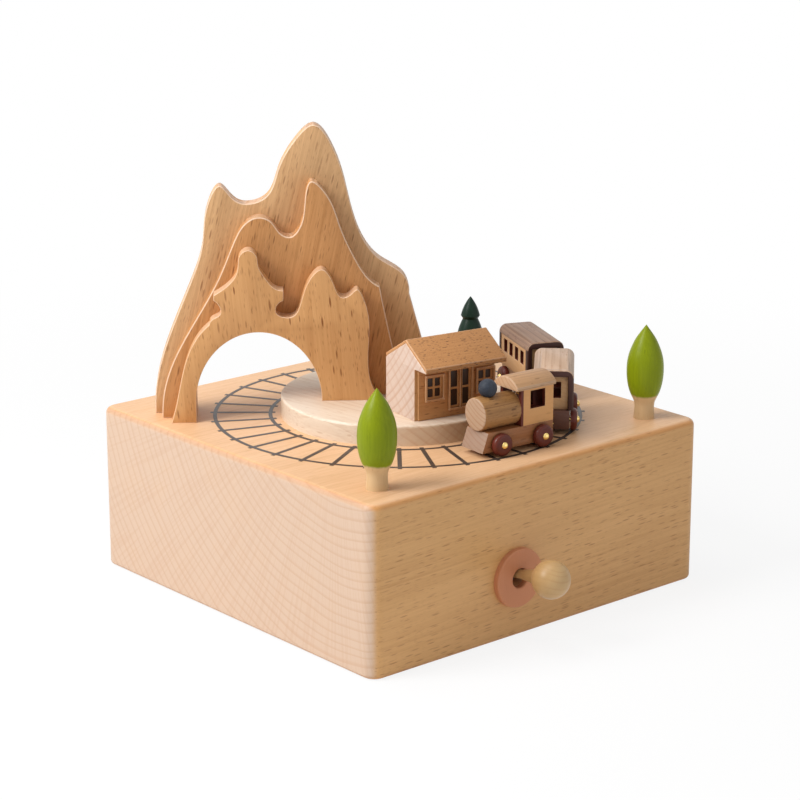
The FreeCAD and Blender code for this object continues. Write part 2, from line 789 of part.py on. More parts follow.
FRONT_OUTLINE = [
    [(-66, 0), (-62.4, 15), (-58.6, 24.6), (-54.6, 29.1)],
    [(-54.6, 29.1), (-53.4, 30.9), (-51.4, 32.2), (-51.6, 34.6), (-53.2, 36.3)],
    [(-53.2, 36.3), (-53.2, 37.8)],
    [(-53.2, 37.8), (-50.1, 39.8), (-46.8, 43.4), (-46, 46.8), (-45.7, 49), (-43.1, 50.9), (-40.7, 49),
     (-40.4, 46.6),
     (-38.5, 42.9), (-35.6, 39.6), (-33.2, 39)],
    [(-33.2, 39), (-33.3, 36)],
    [(-33.3, 36), (-34.9, 35), (-35.4, 32.6), (-33.1, 31.1), (-30.4, 31.4), (-28.4, 34.8), (-25.9, 41.6),
     (-22.2, 45),
     (-19.2, 41.6), (-16.2, 36.7), (-14, 37.5), (-12.2, 39), (-10.2, 36.2), (-8.6, 27), (-4.9, 6)],
]


def make_mountain(name, outline, layer):
    """Board cut to a ridge outline, with the tunnel arch; one foot on the block and one on the platform."""
    step = size("platform_thickness")
    spring = size("arch_spring_height")
    middle, half = -size("arch_distance"), size("arch_half_width")

    def foot(height):
        return step if height == 6 else height
    stretches = [[(s, foot(h)) for s, h in stretch] for stretch in outline]
    edges = [curve([Vector(s, 0, h) for s, h in stretch]) for stretch in stretches]
    start, end = stretches[0][0], stretches[-1][-1]
    feet = [end, (middle + half, step), (middle + half, spring)] if spring > step else [end,
                                                                                        (middle + half, step)]
    far_side = [(middle - half, spring), (middle - half, 0), start]
    for line in (feet, far_side):
        for a, b in zip(line, line[1:]):
            edges.append(Part.LineSegment(Vector(a[0], 0, a[1]), Vector(b[0], 0, b[1])).toShape())
    rise = size("arch_rise")
    if rise > half:
        ellipse = Part.Ellipse(Vector(middle, 0, spring + rise), Vector(middle + half, 0, spring),
                               Vector(middle, 0, spring))
    else:
        ellipse = Part.Ellipse(Vector(middle + half, 0, spring), Vector(middle, 0, spring + rise),
                               Vector(middle, 0, spring))
    first = ellipse.parameter(Vector(middle + half, 0, spring))
    last = ellipse.parameter(Vector(middle - half, 0, spring))
    arc = Part.ArcOfEllipse(ellipse, min(first, last), max(first, last))
    if arc.value((arc.FirstParameter + arc.LastParameter) / 2).z < spring:
        arc = Part.ArcOfEllipse(ellipse, max(first, last), min(first, last) + 2 * pi)
    edges.append(arc.toShape())
    thickness = size("mountain_thickness")
    profile = Part.Face(Part.Wire(Part.__sortEdges__(edges)))
    board = profile.extrude(Vector(0, thickness, 0))
    # The board's own Y points away from the front face, so the front layer comes first.
    turn = FreeCAD.Rotation(Vector(0, 0, 1), size("board_angle"))
    front = layer * thickness - size("mountain_face_distance")
    base = turn.multVec(Vector(0, front, 0)) + Vector(0, 0, size("block_height"))
    fixed_shape(name, board, FreeCAD.Placement(base, turn))


def make_station():
    """House with a porch roof, its relief front and its roof sheet, all in the station's own frame."""
    ridge = "(porch_depth - station_depth) / 2"
    eave = "porch_height + porch_tip"
    start_x = "station_front_distance * sin(station_angle) + station_start * cos(station_angle)"
    start_y = "station_start * sin(station_angle) - station_front_distance * cos(station_angle)"
    spot = dict(x=start_x, y=start_y, z="platform_z", turn="station_angle - 90")
    house = new_body("station_house")
    section = [("0", "0"), ("0", "porch_height"), ("porch_depth", "porch_height"), ("porch_depth", eave),
               (ridge, "ridge_height"), ("-station_depth", eave), ("-station_depth", "0")]
    extrude("Pad", house, polygon(new_sketch(house, "XZ_Plane"), section), "station_length", backwards=True)
    node("station_house", place(house, **spot))
    roof = new_body("station_roof")
    section = [("porch_depth", eave), ("porch_depth", eave + " + roof_sheet"),
               (ridge, "ridge_height + roof_sheet"),
               ("-station_depth", eave + " + roof_sheet"), ("-station_depth", eave), (ridge, "ridge_height")]
    extrude("Pad", roof, polygon(new_sketch(roof, "XZ_Plane"), section), "station_length", backwards=True)
    node("station_roof", place(roof, **spot))
    panel = box("station_panel", ("0", "panel_margin", "0"),
                ("panel_thickness", "station_length - 2 * panel_margin", "porch_height"))
    openings = []
    windows = [("near_window_inset", "window_sill", "window_width", "window_height", 2, 2),
               ("door_start", "door_sill", "door_leaf_width", "door_height", 1, 2),
               ("door_start + door_leaf_width + door_leaf_gap", "door_sill", "door_leaf_width",
                "door_height", 1, 2),
               ("station_length - far_window_inset - window_width", "window_sill", "window_width",
                "window_height", 2, 2)]
    for y, z, width, height, columns, rows in windows:
        pane_width = "((%s - %d * bar_width) / %d)" % (width, columns + 1, columns)
        pane_height = "((%s - %d * bar_width) / %d)" % (height, rows + 1, rows)
        for i in range(columns):
            for j in range(rows):
                corner_y = "%s + bar_width + %d * (%s + bar_width)" % (y, i, pane_width)
                corner_z = "%s + bar_width + %d * (%s + bar_width)" % (z, j, pane_height)
                openings.append(box("station_pane", ("-1", corner_y, corner_z),
                                    ("3", pane_width, pane_height)))
    node("station_front", place(cut("station_front", panel, openings), **spot))


def make_trees():
    """Two turned trees with drop-shaped crowns, and the small tiered pine at the back."""
    foot, neck = size("stem_foot_radius"), size("stem_neck_radius")
    stem, tall, wide = size("stem_height"), size("tree_height"), size("tree_radius")
    crown = tall - stem
    shape = turned([
        [(foot, 0), (neck, 0.38 * stem), (1.06 * neck, 0.77 * stem), (0.72 * wide, stem + 0.014 * crown),
         (0.935 * wide, stem + 0.186 * crown), (wide, stem + 0.363 * crown),
         (0.905 * wide, stem + 0.58 * crown), (0.75 * wide, stem + 0.693 * crown),
         (0.54 * wide, stem + 0.805 * crown), (0.324 * wide, stem + 0.888 * crown), (0, tall)],
    ])
    reach = size("half_width") - size("tree_inset")
    trees = []
    for side in (-1, 1):
        tree = shape.copy()
        tree.Placement = FreeCAD.Placement(Vector(reach, side * reach, size("block_height")),
                                           FreeCAD.Rotation())
        trees.append(tree)
    fixed_shape("round_trees", Part.makeCompound(trees))
    stem_radius, stem_top = size("pine_stem_radius"), size("pine_stem_height")
    top = size("pine_height")
    groove = stem_top + 0.56 * (top - stem_top)
    upper = size("pine_upper_radius")
    pine = turned([
        [(stem_radius, 0), (stem_radius, stem_top)],
        [(stem_radius, stem_top), (size("pine_radius"), stem_top + 0.6)],
        [(size("pine_radius"), stem_top + 0.6), (0.93 * size("pine_radius"), stem_top + 3.6),
         (size("pine_groove_radius"), groove)],
        [(size("pine_groove_radius"), groove), (upper, groove + 1.0)],
        [(upper, groove + 1.0), (0.66 * upper, groove + 4.0), (0, top)],
    ])
    spot = Vector(-size("pine_offset"), size("half_width") - size("pine_inset"), size("block_height"))
    fixed_shape("pine_tree", pine, FreeCAD.Placement(spot, FreeCAD.Rotation()))


# Movement
def make_bedplate():
    """Cast plate with bearing posts for the cylinder and the second wheel, and the comb's seat."""
    plate = box("bed_plate", ("-bed_back", "-bed_comb_side", "ledge_z"),
                ("bed_back + bed_main_end", "bed_comb_side + bed_far_side", "bed_thickness"))
    tongue = box("bed_tongue", ("bed_main_end - 1", "bed_near_y", "ledge_z"),
                 ("bed_end_x - bed_main_end + 1", "bed_far_y - bed_near_y", "bed_thickness"))
    tall = "cylinder_lift + post_half_width * 0.7"
    posts = [box("bed_post_a", ("post_a_x", "-post_half_width", "bed_top"),
                 ("post_thickness", "2 * post_half_width", tall)),
             box("bed_post_b", ("post_b_x", "-post_half_width", "bed_top"),
                 ("post_thickness", "2 * post_half_width + second_y - 1", tall)),
             box("bed_post_c", ("post_c_x", "second_y - 3", "bed_top"), ("post_thickness", "5.2", tall))]
    seat = box("bed_comb_seat", ("drum_x", "-comb_back_y", "bed_top"),
               ("drum_length", "comb_seat", "comb_z - bed_top"))
    holes = [rod("bed_arbor_hole", "arbor_radius + running_gap", "bed_thickness", ("0", "0", "ledge_z")),
             rod("bed_cylinder_hole", "cylinder_arbor_radius + running_gap", "bed_end_x",
                 ("0", "0", "drum_z"), "x"),
             rod("bed_second_hole", "second_arbor_radius + running_gap", "bed_end_x",
                 ("post_a_x + 5", "second_y", "drum_z"), "x"),
             rod("bed_governor_hole", "governor_shaft_radius + running_gap", "bed_thickness",
                 ("worm_x", "worm_y", "ledge_z"))]
    for x, y in (("3.5 - bed_back", "bed_far_side - 3.5"), ("3.5 - bed_back", "3.5 - bed_comb_side"),
                 ("bed_main_end - 4", "3.5 - bed_comb_side")):
        holes.append(rod("bed_screw_hole", "small_screw_radius", "bed_thickness", (x, y, "ledge_z")))
    for side in ("-", "+"):
        x = "drum_x + drum_length / 2 %s drum_length / 4" % side
        depth = "small_screw_length - small_head_height - comb_thickness"
        holes.append(rod("bed_comb_hole", "small_screw_radius", depth,
                         (x, "-comb_root_y - comb_seat / 2", "comb_z - (%s)" % depth)))
    node("movement_bedplate", cut("movement_bedplate", fuse("bed_casting", [plate, tongue, seat] + posts),
                                  holes))


def make_barrel():
    """Spring barrel with upright crown teeth round its waist and the output post on top."""
    body = new_body("spring_barrel")
    inside = "barrel_radius - barrel_wall"
    ceiling = "barrel_top - barrel_wall - 0.4"
    pivot = "arbor_pivot_radius + running_gap"
    section = [(inside, "barrel_z"), ("barrel_radius", "barrel_z"), ("barrel_radius", "crown_disc_z"),
               ("crown_outer_radius", "crown_disc_z"), ("crown_outer_radius", "crown_tip_z"),
               ("crown_inner_radius", "crown_tip_z"), ("crown_inner_radius", "crown_root_z"),
               ("barrel_radius", "crown_root_z"), ("barrel_radius", "barrel_top"),
               ("output_radius", "barrel_top"),
               ("output_radius", "magnet_z + hub_rise"), ("0", "magnet_z + hub_rise"),
               ("0", "barrel_top + 3"),
               (pivot, "barrel_top + 3"),
               (pivot, ceiling), (inside, ceiling)]
    revolve(body, polygon(new_sketch(body, "XZ_Plane"), section))
    slot = new_sketch(body, "YZ_Plane", "crown_inner_radius - 0.5")
    polygon(slot, [("-0.32 * crown_slot", "crown_root_z"), ("0.32 * crown_slot", "crown_root_z"),
                   ("0.68 * crown_slot", "crown_tip_z + 0.01"), ("-0.68 * crown_slot", "crown_tip_z + 0.01")])
    length = "crown_outer_radius - crown_inner_radius + 1"
    polar(body, extrude("Pocket", body, slot, length, backwards=True), "crown_teeth")
    node("spring_barrel", body)


def make_mainspring():
    """Flat spring wound from the arbor to the barrel's wall, in half circles that widen step by step."""
    halves, strip = 2 * int(size("spring_turns")), size("spring_strip")
    inner = size("arbor_radius") + 0.3 + strip
    outer = size("barrel_radius") - size("barrel_wall") - 0.3 - strip
    step = (outer - inner) / halves
    low = size("barrel_z") + 1.2
    tall = size("barrel_top") - size("barrel_wall") - 1.0 - low

    def half_circles(shift):
        arcs = []
        for i in range(halves):
            side = 1 if i % 2 == 0 else -1
            middle = Vector(0 if side > 0 else step, 0, low)
            radius = inner + step * i + shift
            ends = [middle + Vector(side * radius, 0, 0), middle - Vector(side * radius, 0, 0)]
            arcs.append(Part.Arc(ends[0], middle + Vector(0, side * radius, 0), ends[1]).toShape())
        return arcs
    near, far = half_circles(-strip / 2), half_circles(strip / 2)
    edges = near + far
    for i in (0, -1):
        edges.append(Part.LineSegment(near[i].Vertexes[i].Point, far[i].Vertexes[i].Point).toShape())
    fixed_shape("mainspring", Part.Face(Part.Wire(Part.__sortEdges__(edges))).extrude(Vector(0, 0, tall)))


def make_arbor_and_key():
    """Winding arbor with its collar and upper pivot, and the two-lobed key in the recess."""
    body = new_body("winding_arbor")
    shoulder = "barrel_top - barrel_wall - 0.7"
    section = [("0", "key_clearance + 0.4"), ("arbor_radius", "key_clearance + 0.4"),
               ("arbor_radius", "bed_top + 0.1"),
               ("arbor_collar_radius", "bed_top + 0.1"), ("arbor_collar_radius", "bed_top + 0.9"),
               ("arbor_radius", "bed_top + 0.9"),
               ("arbor_radius", shoulder), ("arbor_pivot_radius", shoulder),
               ("arbor_pivot_radius", "barrel_top + 2.7"),
               ("0", "barrel_top + 2.7")]
    revolve(body, polygon(new_sketch(body, "XZ_Plane"), section))
    node("winding_arbor", body)
    middle = "key_clearance + key_lobe_radius"
    half = "key_thickness / 2"
    parts = [rod("key_hub", "key_hub_radius", "2 * key_lobe_radius", ("0", "0", "key_clearance")),
             box("key_web", ("-key_span", "-" + half, middle + " - key_lobe_radius * 0.55"),
                 ("2 * key_span", "key_thickness", "key_lobe_radius * 1.1"))]
    holes = [rod("key_bore", "arbor_radius", "2 * key_lobe_radius", ("0", "0", "key_clearance + 0.4"))]
    for side in ("-", ""):
        parts.append(rod("key_lobe", "key_lobe_radius", "key_thickness",
                         (side + "key_span", "-" + half, middle), "y"))
        holes.append(rod("key_eye", "key_hole_radius", "key_thickness",
                         (side + "key_span", "-" + half, middle), "y"))
    node("winding_key", cut("winding_key", fuse("key_blank", parts), holes))


def make_bridge():
    """Bridge over the barrel: a plate with the output post's bearing, on two pillars."""
    plate = box("bridge_plate", ("-bridge_half_width", "-bridge_post_distance - bridge_half_width / 2",
                                 "bridge_z"),
                ("2 * bridge_half_width", "2 * bridge_post_distance + bridge_half_width", "bridge_thickness"))
    parts = [plate]
    holes = [rod("bridge_bearing", "output_radius + running_gap", "bridge_thickness", ("0", "0", "bridge_z"))]
    for side in ("-", ""):
        y = side + "bridge_post_distance"
        parts.append(rod("bridge_pillar", "bridge_post_radius", "bridge_z - bed_top", ("0", y, "bed_top")))
        depth = "small_screw_length - small_head_height"
        holes.append(rod("bridge_hole", "small_screw_radius", depth,
                         ("0", y, "bridge_z + bridge_thickness - (%s)" % depth)))
    node("barrel_bridge", cut("barrel_bridge", fuse("bridge_blank", parts), holes))


def make_magnet_arm():
    """Arm on the output post that carries the driving magnet round under the top, below the locomotive."""
    bar = box("arm_bar", ("0", "-arm_width / 2", "arm_z"), ("loco_orbit", "arm_width", "arm_thickness"))
    tip = rod("arm_tip", "magnet_radius + magnet_rim", "arm_thickness", ("loco_orbit", "0", "arm_z"))
    tall = "hub_drop + arm_thickness + hub_rise"
    hub = rod("arm_hub", "hub_radius", tall, ("0", "0", "hub_z"))
    bore = rod("arm_bore", "output_radius", tall, ("0", "0", "hub_z"))
    arm = cut("magnet_arm", fuse("arm_blank", [bar, tip, hub]), [bore])
    node("magnet_arm", place(arm, turn="loco_angle"))
    magnet = rod("drive_magnet", "magnet_radius", "magnet_thickness",
                 ("loco_orbit * cos(loco_angle)", "loco_orbit * sin(loco_angle)", "magnet_z"))
    node("drive_magnet", magnet)


def make_cylinder():
    """Pinned drum, its arbor with pinion and wheel, and the tuned comb."""
    z = size("drum_z")
    radius, wall = size("drum_radius"), size("drum_wall")
    x, length = size("drum_x"), size("drum_length")
    along = Vector(1, 0, 0)
    drum = Part.makeCylinder(radius, length, Vector(x, 0, z), along)
    drum = drum.cut(Part.makeCylinder(radius - wall, length - 2 * wall, Vector(x + wall, 0, z), along))
    drum = drum.cut(Part.makeCylinder(size("cylinder_arbor_radius"), length, Vector(x, 0, z), along))
    pins = []
    for note in range(int(size("note_count"))):
        for i in range(int(size("pins_per_note"))):
            # A fixed walk round the drum spreads the pins like a tune.
            angle = radians(137.5 * note + 360.0 / size("pins_per_note") * i + 17 * ((note * i) % 5))
            out = Vector(0, cos(angle), sin(angle))
            start = Vector(x + (note + 0.5) * size("note_pitch"), 0, z) + out * (radius - wall / 2)
            pins.append(Part.makeCylinder(size("pin_radius"), size("pin_height") + wall / 2, start, out))
    fixed_shape("pin_cylinder", drum.multiFuse(pins))
    addendum, dedendum = size("tooth_addendum"), size("tooth_dedendum")
    pinion = gear_points(int(size("pinion_teeth")), size("pinion_radius"), addendum, dedendum, 0.42, -pi / 2)
    first = size("crown_inner_radius")
    parts = [gear_along_x(pinion, first, size("crown_outer_radius") - first)]
    module, teeth = size("gear_module"), int(size("wheel_teeth"))
    wheel = gear_points(teeth, module * teeth / 2, 0.8 * module, 1.1 * module, 0.4, 0)
    parts.append(gear_along_x(wheel, size("train_wheel_x"), size("gear_width")))
    end = size("train_wheel_x") + size("gear_width")
    rod_shape = Part.makeCylinder(size("cylinder_arbor_radius"), end - first, Vector(first, 0, 0), along)
    fixed_shape("cylinder_arbor", rod_shape.multiFuse(parts),
                FreeCAD.Placement(Vector(0, 0, z), FreeCAD.Rotation()))


def make_comb():
    """Steel comb: a plate slotted into tuned teeth that end just short of the pins."""
    body = new_body("comb")
    sketch = rectangle(new_sketch(body, "XY_Plane", "comb_z"), "drum_x", "drum_x + drum_length",
                       "-comb_back_y", "-comb_tip_y")
    extrude("Pad", body, sketch, "comb_thickness")
    slot = new_sketch(body, "XY_Plane", "comb_z")
    first = "drum_x + note_pitch"
    rectangle(slot, first + " - comb_slot / 2", first + " + comb_slot / 2", "-comb_root_y", "1 - comb_tip_y")
    cutter = extrude("Pocket", body, slot, "comb_thickness", backwards=True)
    pattern = body.newObject("PartDesign::LinearPattern", "comb_slots")
    pattern.Originals = [cutter]
    pattern.Direction = ([item for item in body.Origin.OriginFeatures if item.Role == "X_Axis"][0], [""])
    bind(pattern, Length="drum_length - 2 * note_pitch", Occurrences="note_count - 1")
    body.Tip = pattern
    doc.recompute()
    for side in ("-", "+"):
        hole = new_sketch(body, "XY_Plane", "comb_z")
        circle(hole, "drum_x + drum_length / 2 %s drum_length / 4" % side, "-comb_root_y - comb_seat / 2",
               "small_screw_radius")
        extrude("Pocket", body, hole, "comb_thickness", backwards=True)
    node("comb", body)


def make_second_wheel():
    """Second arbor: the pinion that the cylinder's wheel drives, and the slanted worm wheel."""
    along = Vector(1, 0, 0)
    module, teeth = size("gear_module"), int(size("second_pinion_teeth"))
    pinion = gear_points(teeth, module * teeth / 2, 0.8 * module, 1.0 * module, 0.4, pi / teeth)
    parts = [gear_along_x(pinion, size("train_wheel_x"), size("gear_width"))]
    worm_teeth = int(size("worm_wheel_teeth"))
    radius = size("worm_wheel_radius")
    corners = gear_points(worm_teeth, radius, size("worm_addendum"), size("worm_dedendum"), 0.36, 0)
    lead = size("worm_starts") * 2 * pi * radius / worm_teeth
    slope = lead / (2 * pi * size("worm_radius"))
    width = size("worm_wheel_width")
    sections = []
    for i in range(3):
        offset = width * (i / 2 - 0.5)
        sections.append(ring_wire(corners, size("worm_x") + offset, offset * slope / radius))
    parts.append(Part.makeLoft(sections, True, True))
    start = size("post_b_x")
    end = size("post_c_x") + size("post_thickness")
    shaft = Part.makeCylinder(size("second_arbor_radius"), end - start, Vector(start, 0, 0), along)
    spot = Vector(0, size("second_y"), size("drum_z"))
    fixed_shape("second_wheel", shaft.multiFuse(parts), FreeCAD.Placement(spot, FreeCAD.Rotation()))


def make_governor():
    """Upright governor with three-start worm, brake disc and two-bladed fan, and the bracket over it."""
    radius = size("worm_radius")
    starts = int(size("worm_starts"))
    lead = starts * 2 * pi * size("worm_wheel_radius") / size("worm_wheel_teeth")
    length = size("worm_length")
    thread = gear_points(starts, radius, size("worm_addendum"), size("worm_dedendum"), 0.38,
                         -pi / 2 + pi / starts)
    count = int(round(length / lead * 15)) + 1
    sections = []
    for i in range(count):
        z = length * (i / (count - 1) - 0.5)
        twist = 2 * pi * z / lead
        points = [Vector(r * cos(a + twist), r * sin(a + twist), z) for a, r in thread]
        sections.append(Part.makePolygon(points + points[:1]))
    worm = Part.makeLoft(sections, True, True)
    low = size("ledge_z") + 0.4 - size("drum_z")
    high = size("bracket_top") - 0.2 - size("drum_z")
    shaft = Part.makeCylinder(size("governor_shaft_radius"), high - low, Vector(0, 0, low))
    disc = Part.makeCylinder(size("brake_disc_radius"), size("brake_disc_thickness"),
                             Vector(0, 0, size("brake_z") - size("drum_z")))
    fan_z = high - size("post_thickness") - size("fan_gap") - size("fan_height")
    fan = size("fan_radius")
    blades = Part.makeBox(2 * fan, size("fan_thickness"), size("fan_height"),
                          Vector(-fan, -size("fan_thickness") / 2, fan_z))
    spot = Vector(size("worm_x"), size("worm_y"), size("drum_z"))
    fixed_shape("governor_worm", shaft.multiFuse([worm, disc, blades]),
                FreeCAD.Placement(spot, FreeCAD.Rotation()))
    x = "worm_x - bracket_half_width"
    wide = "2 * bracket_half_width"
    upright_plate = box("bracket_upright", (x, "bracket_y", "bed_top"),
                        (wide, "post_thickness", "bracket_top - bed_top"))
    arm = box("bracket_arm", (x, "worm_y - 2", "bracket_top - post_thickness"),
              (wide, "bracket_y - worm_y + 2", "post_thickness"))
    foot = box("bracket_foot", (x, "bracket_y - 2", "bed_top"), (wide, "2", "post_thickness"))
    hole = rod("bracket_hole", "governor_shaft_radius + running_gap", "post_thickness",
               ("worm_x", "worm_y", "bracket_top - post_thickness"))
    node("governor_bracket", cut("governor_bracket", fuse("bracket_blank", [upright_plate, arm, foot]),
                                 [hole]))


# Stop lever
def make_lever():
    """Peg that tips on a pin in the block's wall, its washer, its pivot bracket and the brake wire."""
    washer = new_body("lever_washer")
    ring = circle(new_sketch(washer, "YZ_Plane", "half_width"), "-lever_side", "lever_height",
                  "washer_radius")
    circle(ring, "-lever_side", "lever_height", "washer_hole_radius")
    extrude("Pad", washer, ring, "washer_thickness")
    face = size("half_width") + size("washer_thickness")
    fillet(washer, "washer_edge_radius", lambda e: e.BoundBox.XMin > face - 1e-4)
    node("lever_washer", washer)
    cheek_y = ("-lever_side - pivot_half_gap - pivot_cheek", "pivot_half_gap - lever_side")
    back = box("pivot_back", ("pocket_end_x - pivot_cheek", cheek_y[0], "lever_height - pivot_half_height"),
               ("pivot_cheek", "2 * (pivot_half_gap + pivot_cheek)", "2 * pivot_half_height"))
    cheeks = [box("pivot_side", ("pivot_x - 2", y, "lever_height - pivot_half_gap"),
                  ("pocket_end_x - pivot_x + 2", "pivot_cheek", "2 * pivot_half_gap")) for y in cheek_y]
    span = "2 * (pivot_half_gap + pivot_cheek)"
    drill = rod("pivot_drill", "pivot_pin_radius", span, ("pivot_x", cheek_y[0], "lever_height"), "y")
    way = rod("pivot_way", "washer_hole_radius", "pivot_cheek",
              ("pocket_end_x - pivot_cheek", "-lever_side", "lever_height"), "x")
    bracket = cut("pivot_bracket", fuse("pivot_blank", [back] + cheeks), [drill, way])
    pin = rod("pivot_pin", "pivot_pin_radius", span, ("pivot_x", cheek_y[0], "lever_height"), "y")
    pair = doc.addObject("Part::Compound", "lever_pivot")
    pair.Links = [bracket, pin]
    node("lever_pivot", pair)
    spot = dict(x="pivot_x", y="-lever_side", z="lever_height", axis=(0, 1, 0), turn="-lever_tilt")
    stem = new_body("peg_stem")
    outline = new_sketch(stem, "XY_Plane")
    polygon(outline, [("-peg_tail", "0"), ("-peg_tail", "peg_tail_radius"),
                      ("peg_shoulder", "peg_tail_radius"),
                      ("peg_shoulder + 1", "peg_stem_radius"), ("peg_reach / 2 - 1", "peg_stem_radius"),
                      ("peg_reach - peg_ball_radius + 0.6", "peg_neck_radius"),
                      ("peg_reach", "peg_neck_radius"), ("peg_reach", "0")])
    revolve(stem, outline, "H_Axis")
    ball = doc.addObject("Part::Sphere", "peg_ball")
    bind(ball, Radius="peg_ball_radius")
    place(ball, x="peg_reach")
    cross = rod("peg_cross_hole", "pivot_pin_radius + running_gap", "4 * peg_tail_radius",
                ("0", "-2 * peg_tail_radius", "0"), "y")
    socket = rod("peg_socket", "wire_radius", "wire_socket", ("-peg_tail", "0", "0"), "x")
    node("stop_peg", place(cut("stop_peg", fuse("peg_blank", [stem, ball]), [cross, socket]), **spot))
    bend = size("wire_bend_radius")
    start = size("wire_socket") - size("peg_tail")
    across = size("worm_y") + size("lever_side")
    side, tip = -size("wire_outer_run"), -size("wire_reach")
    points = [Vector(start, 0, 0), Vector(side, 0, 0), Vector(side, across, 0), Vector(tip, across, 0)]
    wire = bent_wire(points, bend, size("wire_radius"))
    turn = FreeCAD.Rotation(Vector(0, 1, 0), -size("lever_tilt"))
    spot = Vector(size("pivot_x"), -size("lever_side"), size("lever_height"))
    fixed_shape("brake_wire", wire, FreeCAD.Placement(spot, turn))


# Train. Each vehicle has its own frame: X forwards, Y to the outside of the curve, Z up from the block's top.
def vehicle_spot(vehicle):
    """Bound place of a vehicle's frame."""
    return dict(x=vehicle + "_x", y=vehicle + "_y", z="block_height", turn=vehicle + "_turn")


def vehicle_placement(vehicle):
    """Place of a vehicle's frame in numbers."""
    base = Vector(size(vehicle + "_x"), size(vehicle + "_y"), size("block_height"))
    return FreeCAD.Placement(base, FreeCAD.Rotation(Vector(0, 0, 1), size(vehicle + "_turn")))


def axle_holes(vehicle, axles):
    """Blind holes for the four axle nails of a chassis."""
    holes = []
    for x in axles:
        for y in ("-chassis_width / 2", "chassis_width / 2 - axle_depth"):
            holes.append(rod(vehicle + "_axle_hole", "axle_radius", "axle_depth", (x, y, "wheel_z"), "y"))
    return holes


def make_wheels(vehicle, axles):
    """Four domed wheels, each on its own nail, with the dome to the outside."""
    for end, x in zip(("front", "rear"), axles):
        for edge, side, turn in (("outer", "wheel_side", "0"), ("inner", "-wheel_side", "180")):
            name = "%s_wheel_%s_%s" % (vehicle, end, edge)
            body = new_body(name)
            bore = "axle_radius + running_gap"
            section = [(bore, "0"), ("wheel_radius", "0"), ("wheel_radius", "wheel_thickness"),
                       (bore, "wheel_thickness")]
            revolve(body, polygon(new_sketch(body, "XY_Plane"), section))
            rim = size("wheel_radius")
            outside = size("wheel_thickness")
            fillet(body, "wheel_dome_radius",
                   lambda e: e.BoundBox.YMin > outside - 1e-4 and e.BoundBox.XMax > rim - 1e-4)
            turn_text = "%s_turn" % vehicle
            wheel_x = "%s_x + (%s) * cos(%s) - (%s) * sin(%s)" % (vehicle, x, turn_text, side, turn_text)
            wheel_y = "%s_y + (%s) * sin(%s) + (%s) * cos(%s)" % (vehicle, x, turn_text, side, turn_text)
            place(body, x=wheel_x, y=wheel_y, z="block_height + wheel_z", turn="%s + %s" % (turn_text, turn))
            node(name, body)


def nails(axles):
    """Domed brass nails through the wheels into the chassis, in the vehicle's frame."""
    solids = []
    half = size("chassis_width") / 2
    face = size("wheel_side") + size("wheel_thickness") + size("running_gap")
    head, tall = size("nail_head_radius"), size("nail_head_height")
    for x in axles:
        for side in (-1, 1):
            start = Vector(x, side * (half - size("axle_depth")), size("wheel_z"))
            shank = Part.makeCylinder(size("axle_radius"), face - half + size("axle_depth"), start,
                                      Vector(0, side, 0))
            # The head is a slice of a ball that is as wide as the head at the wheel's face.
            ball = (head * head + tall * tall) / (2 * tall)
            middle = Vector(x, side * (face + tall - ball), size("wheel_z"))
            slice_box = Part.makeBox(2 * ball, tall, 2 * ball,
                                     Vector(x - ball, face if side > 0 else -face - tall,
                                            size("wheel_z") - ball))
            solids.append(shank.fuse(Part.makeSphere(ball, middle).common(slice_box)).removeSplitter())
    return solids


def eye(x):
    """Screw eye at a vehicle's tail: a shank and a level ring."""
    wire, ring, z = size("coupling_wire"), size("coupling_ring"), size("coupling_height")
    shank = Part.makeCylinder(wire, 0.8, Vector(x, 0, z), Vector(-1, 0, 0))
    loop = Part.makeTorus(ring, wire, Vector(x - 0.9 - ring, 0, z), Vector(0, 0, 1))
    return shank.fuse(loop).removeSplitter()


def hook(x, target):
    """Hook at a vehicle's nose that drops through the eye in front of it, without touching it."""
    wire = size("coupling_wire")
    over = Vector(0, 0, 3 * wire)
    start = Vector(x, 0, target.z) + over
    points = [start, start + Vector(0.6, 0, 0), target + over, target - over * 1.4]
    return bent_wire(points, 2 * wire, wire)


def eye_middle(vehicle, tail):
    """Middle of a vehicle's eye in the music box's frame."""
    middle = Vector(tail - 0.9 - size("coupling_ring"), 0, size("coupling_height"))
    return vehicle_placement(vehicle).multVec(middle)


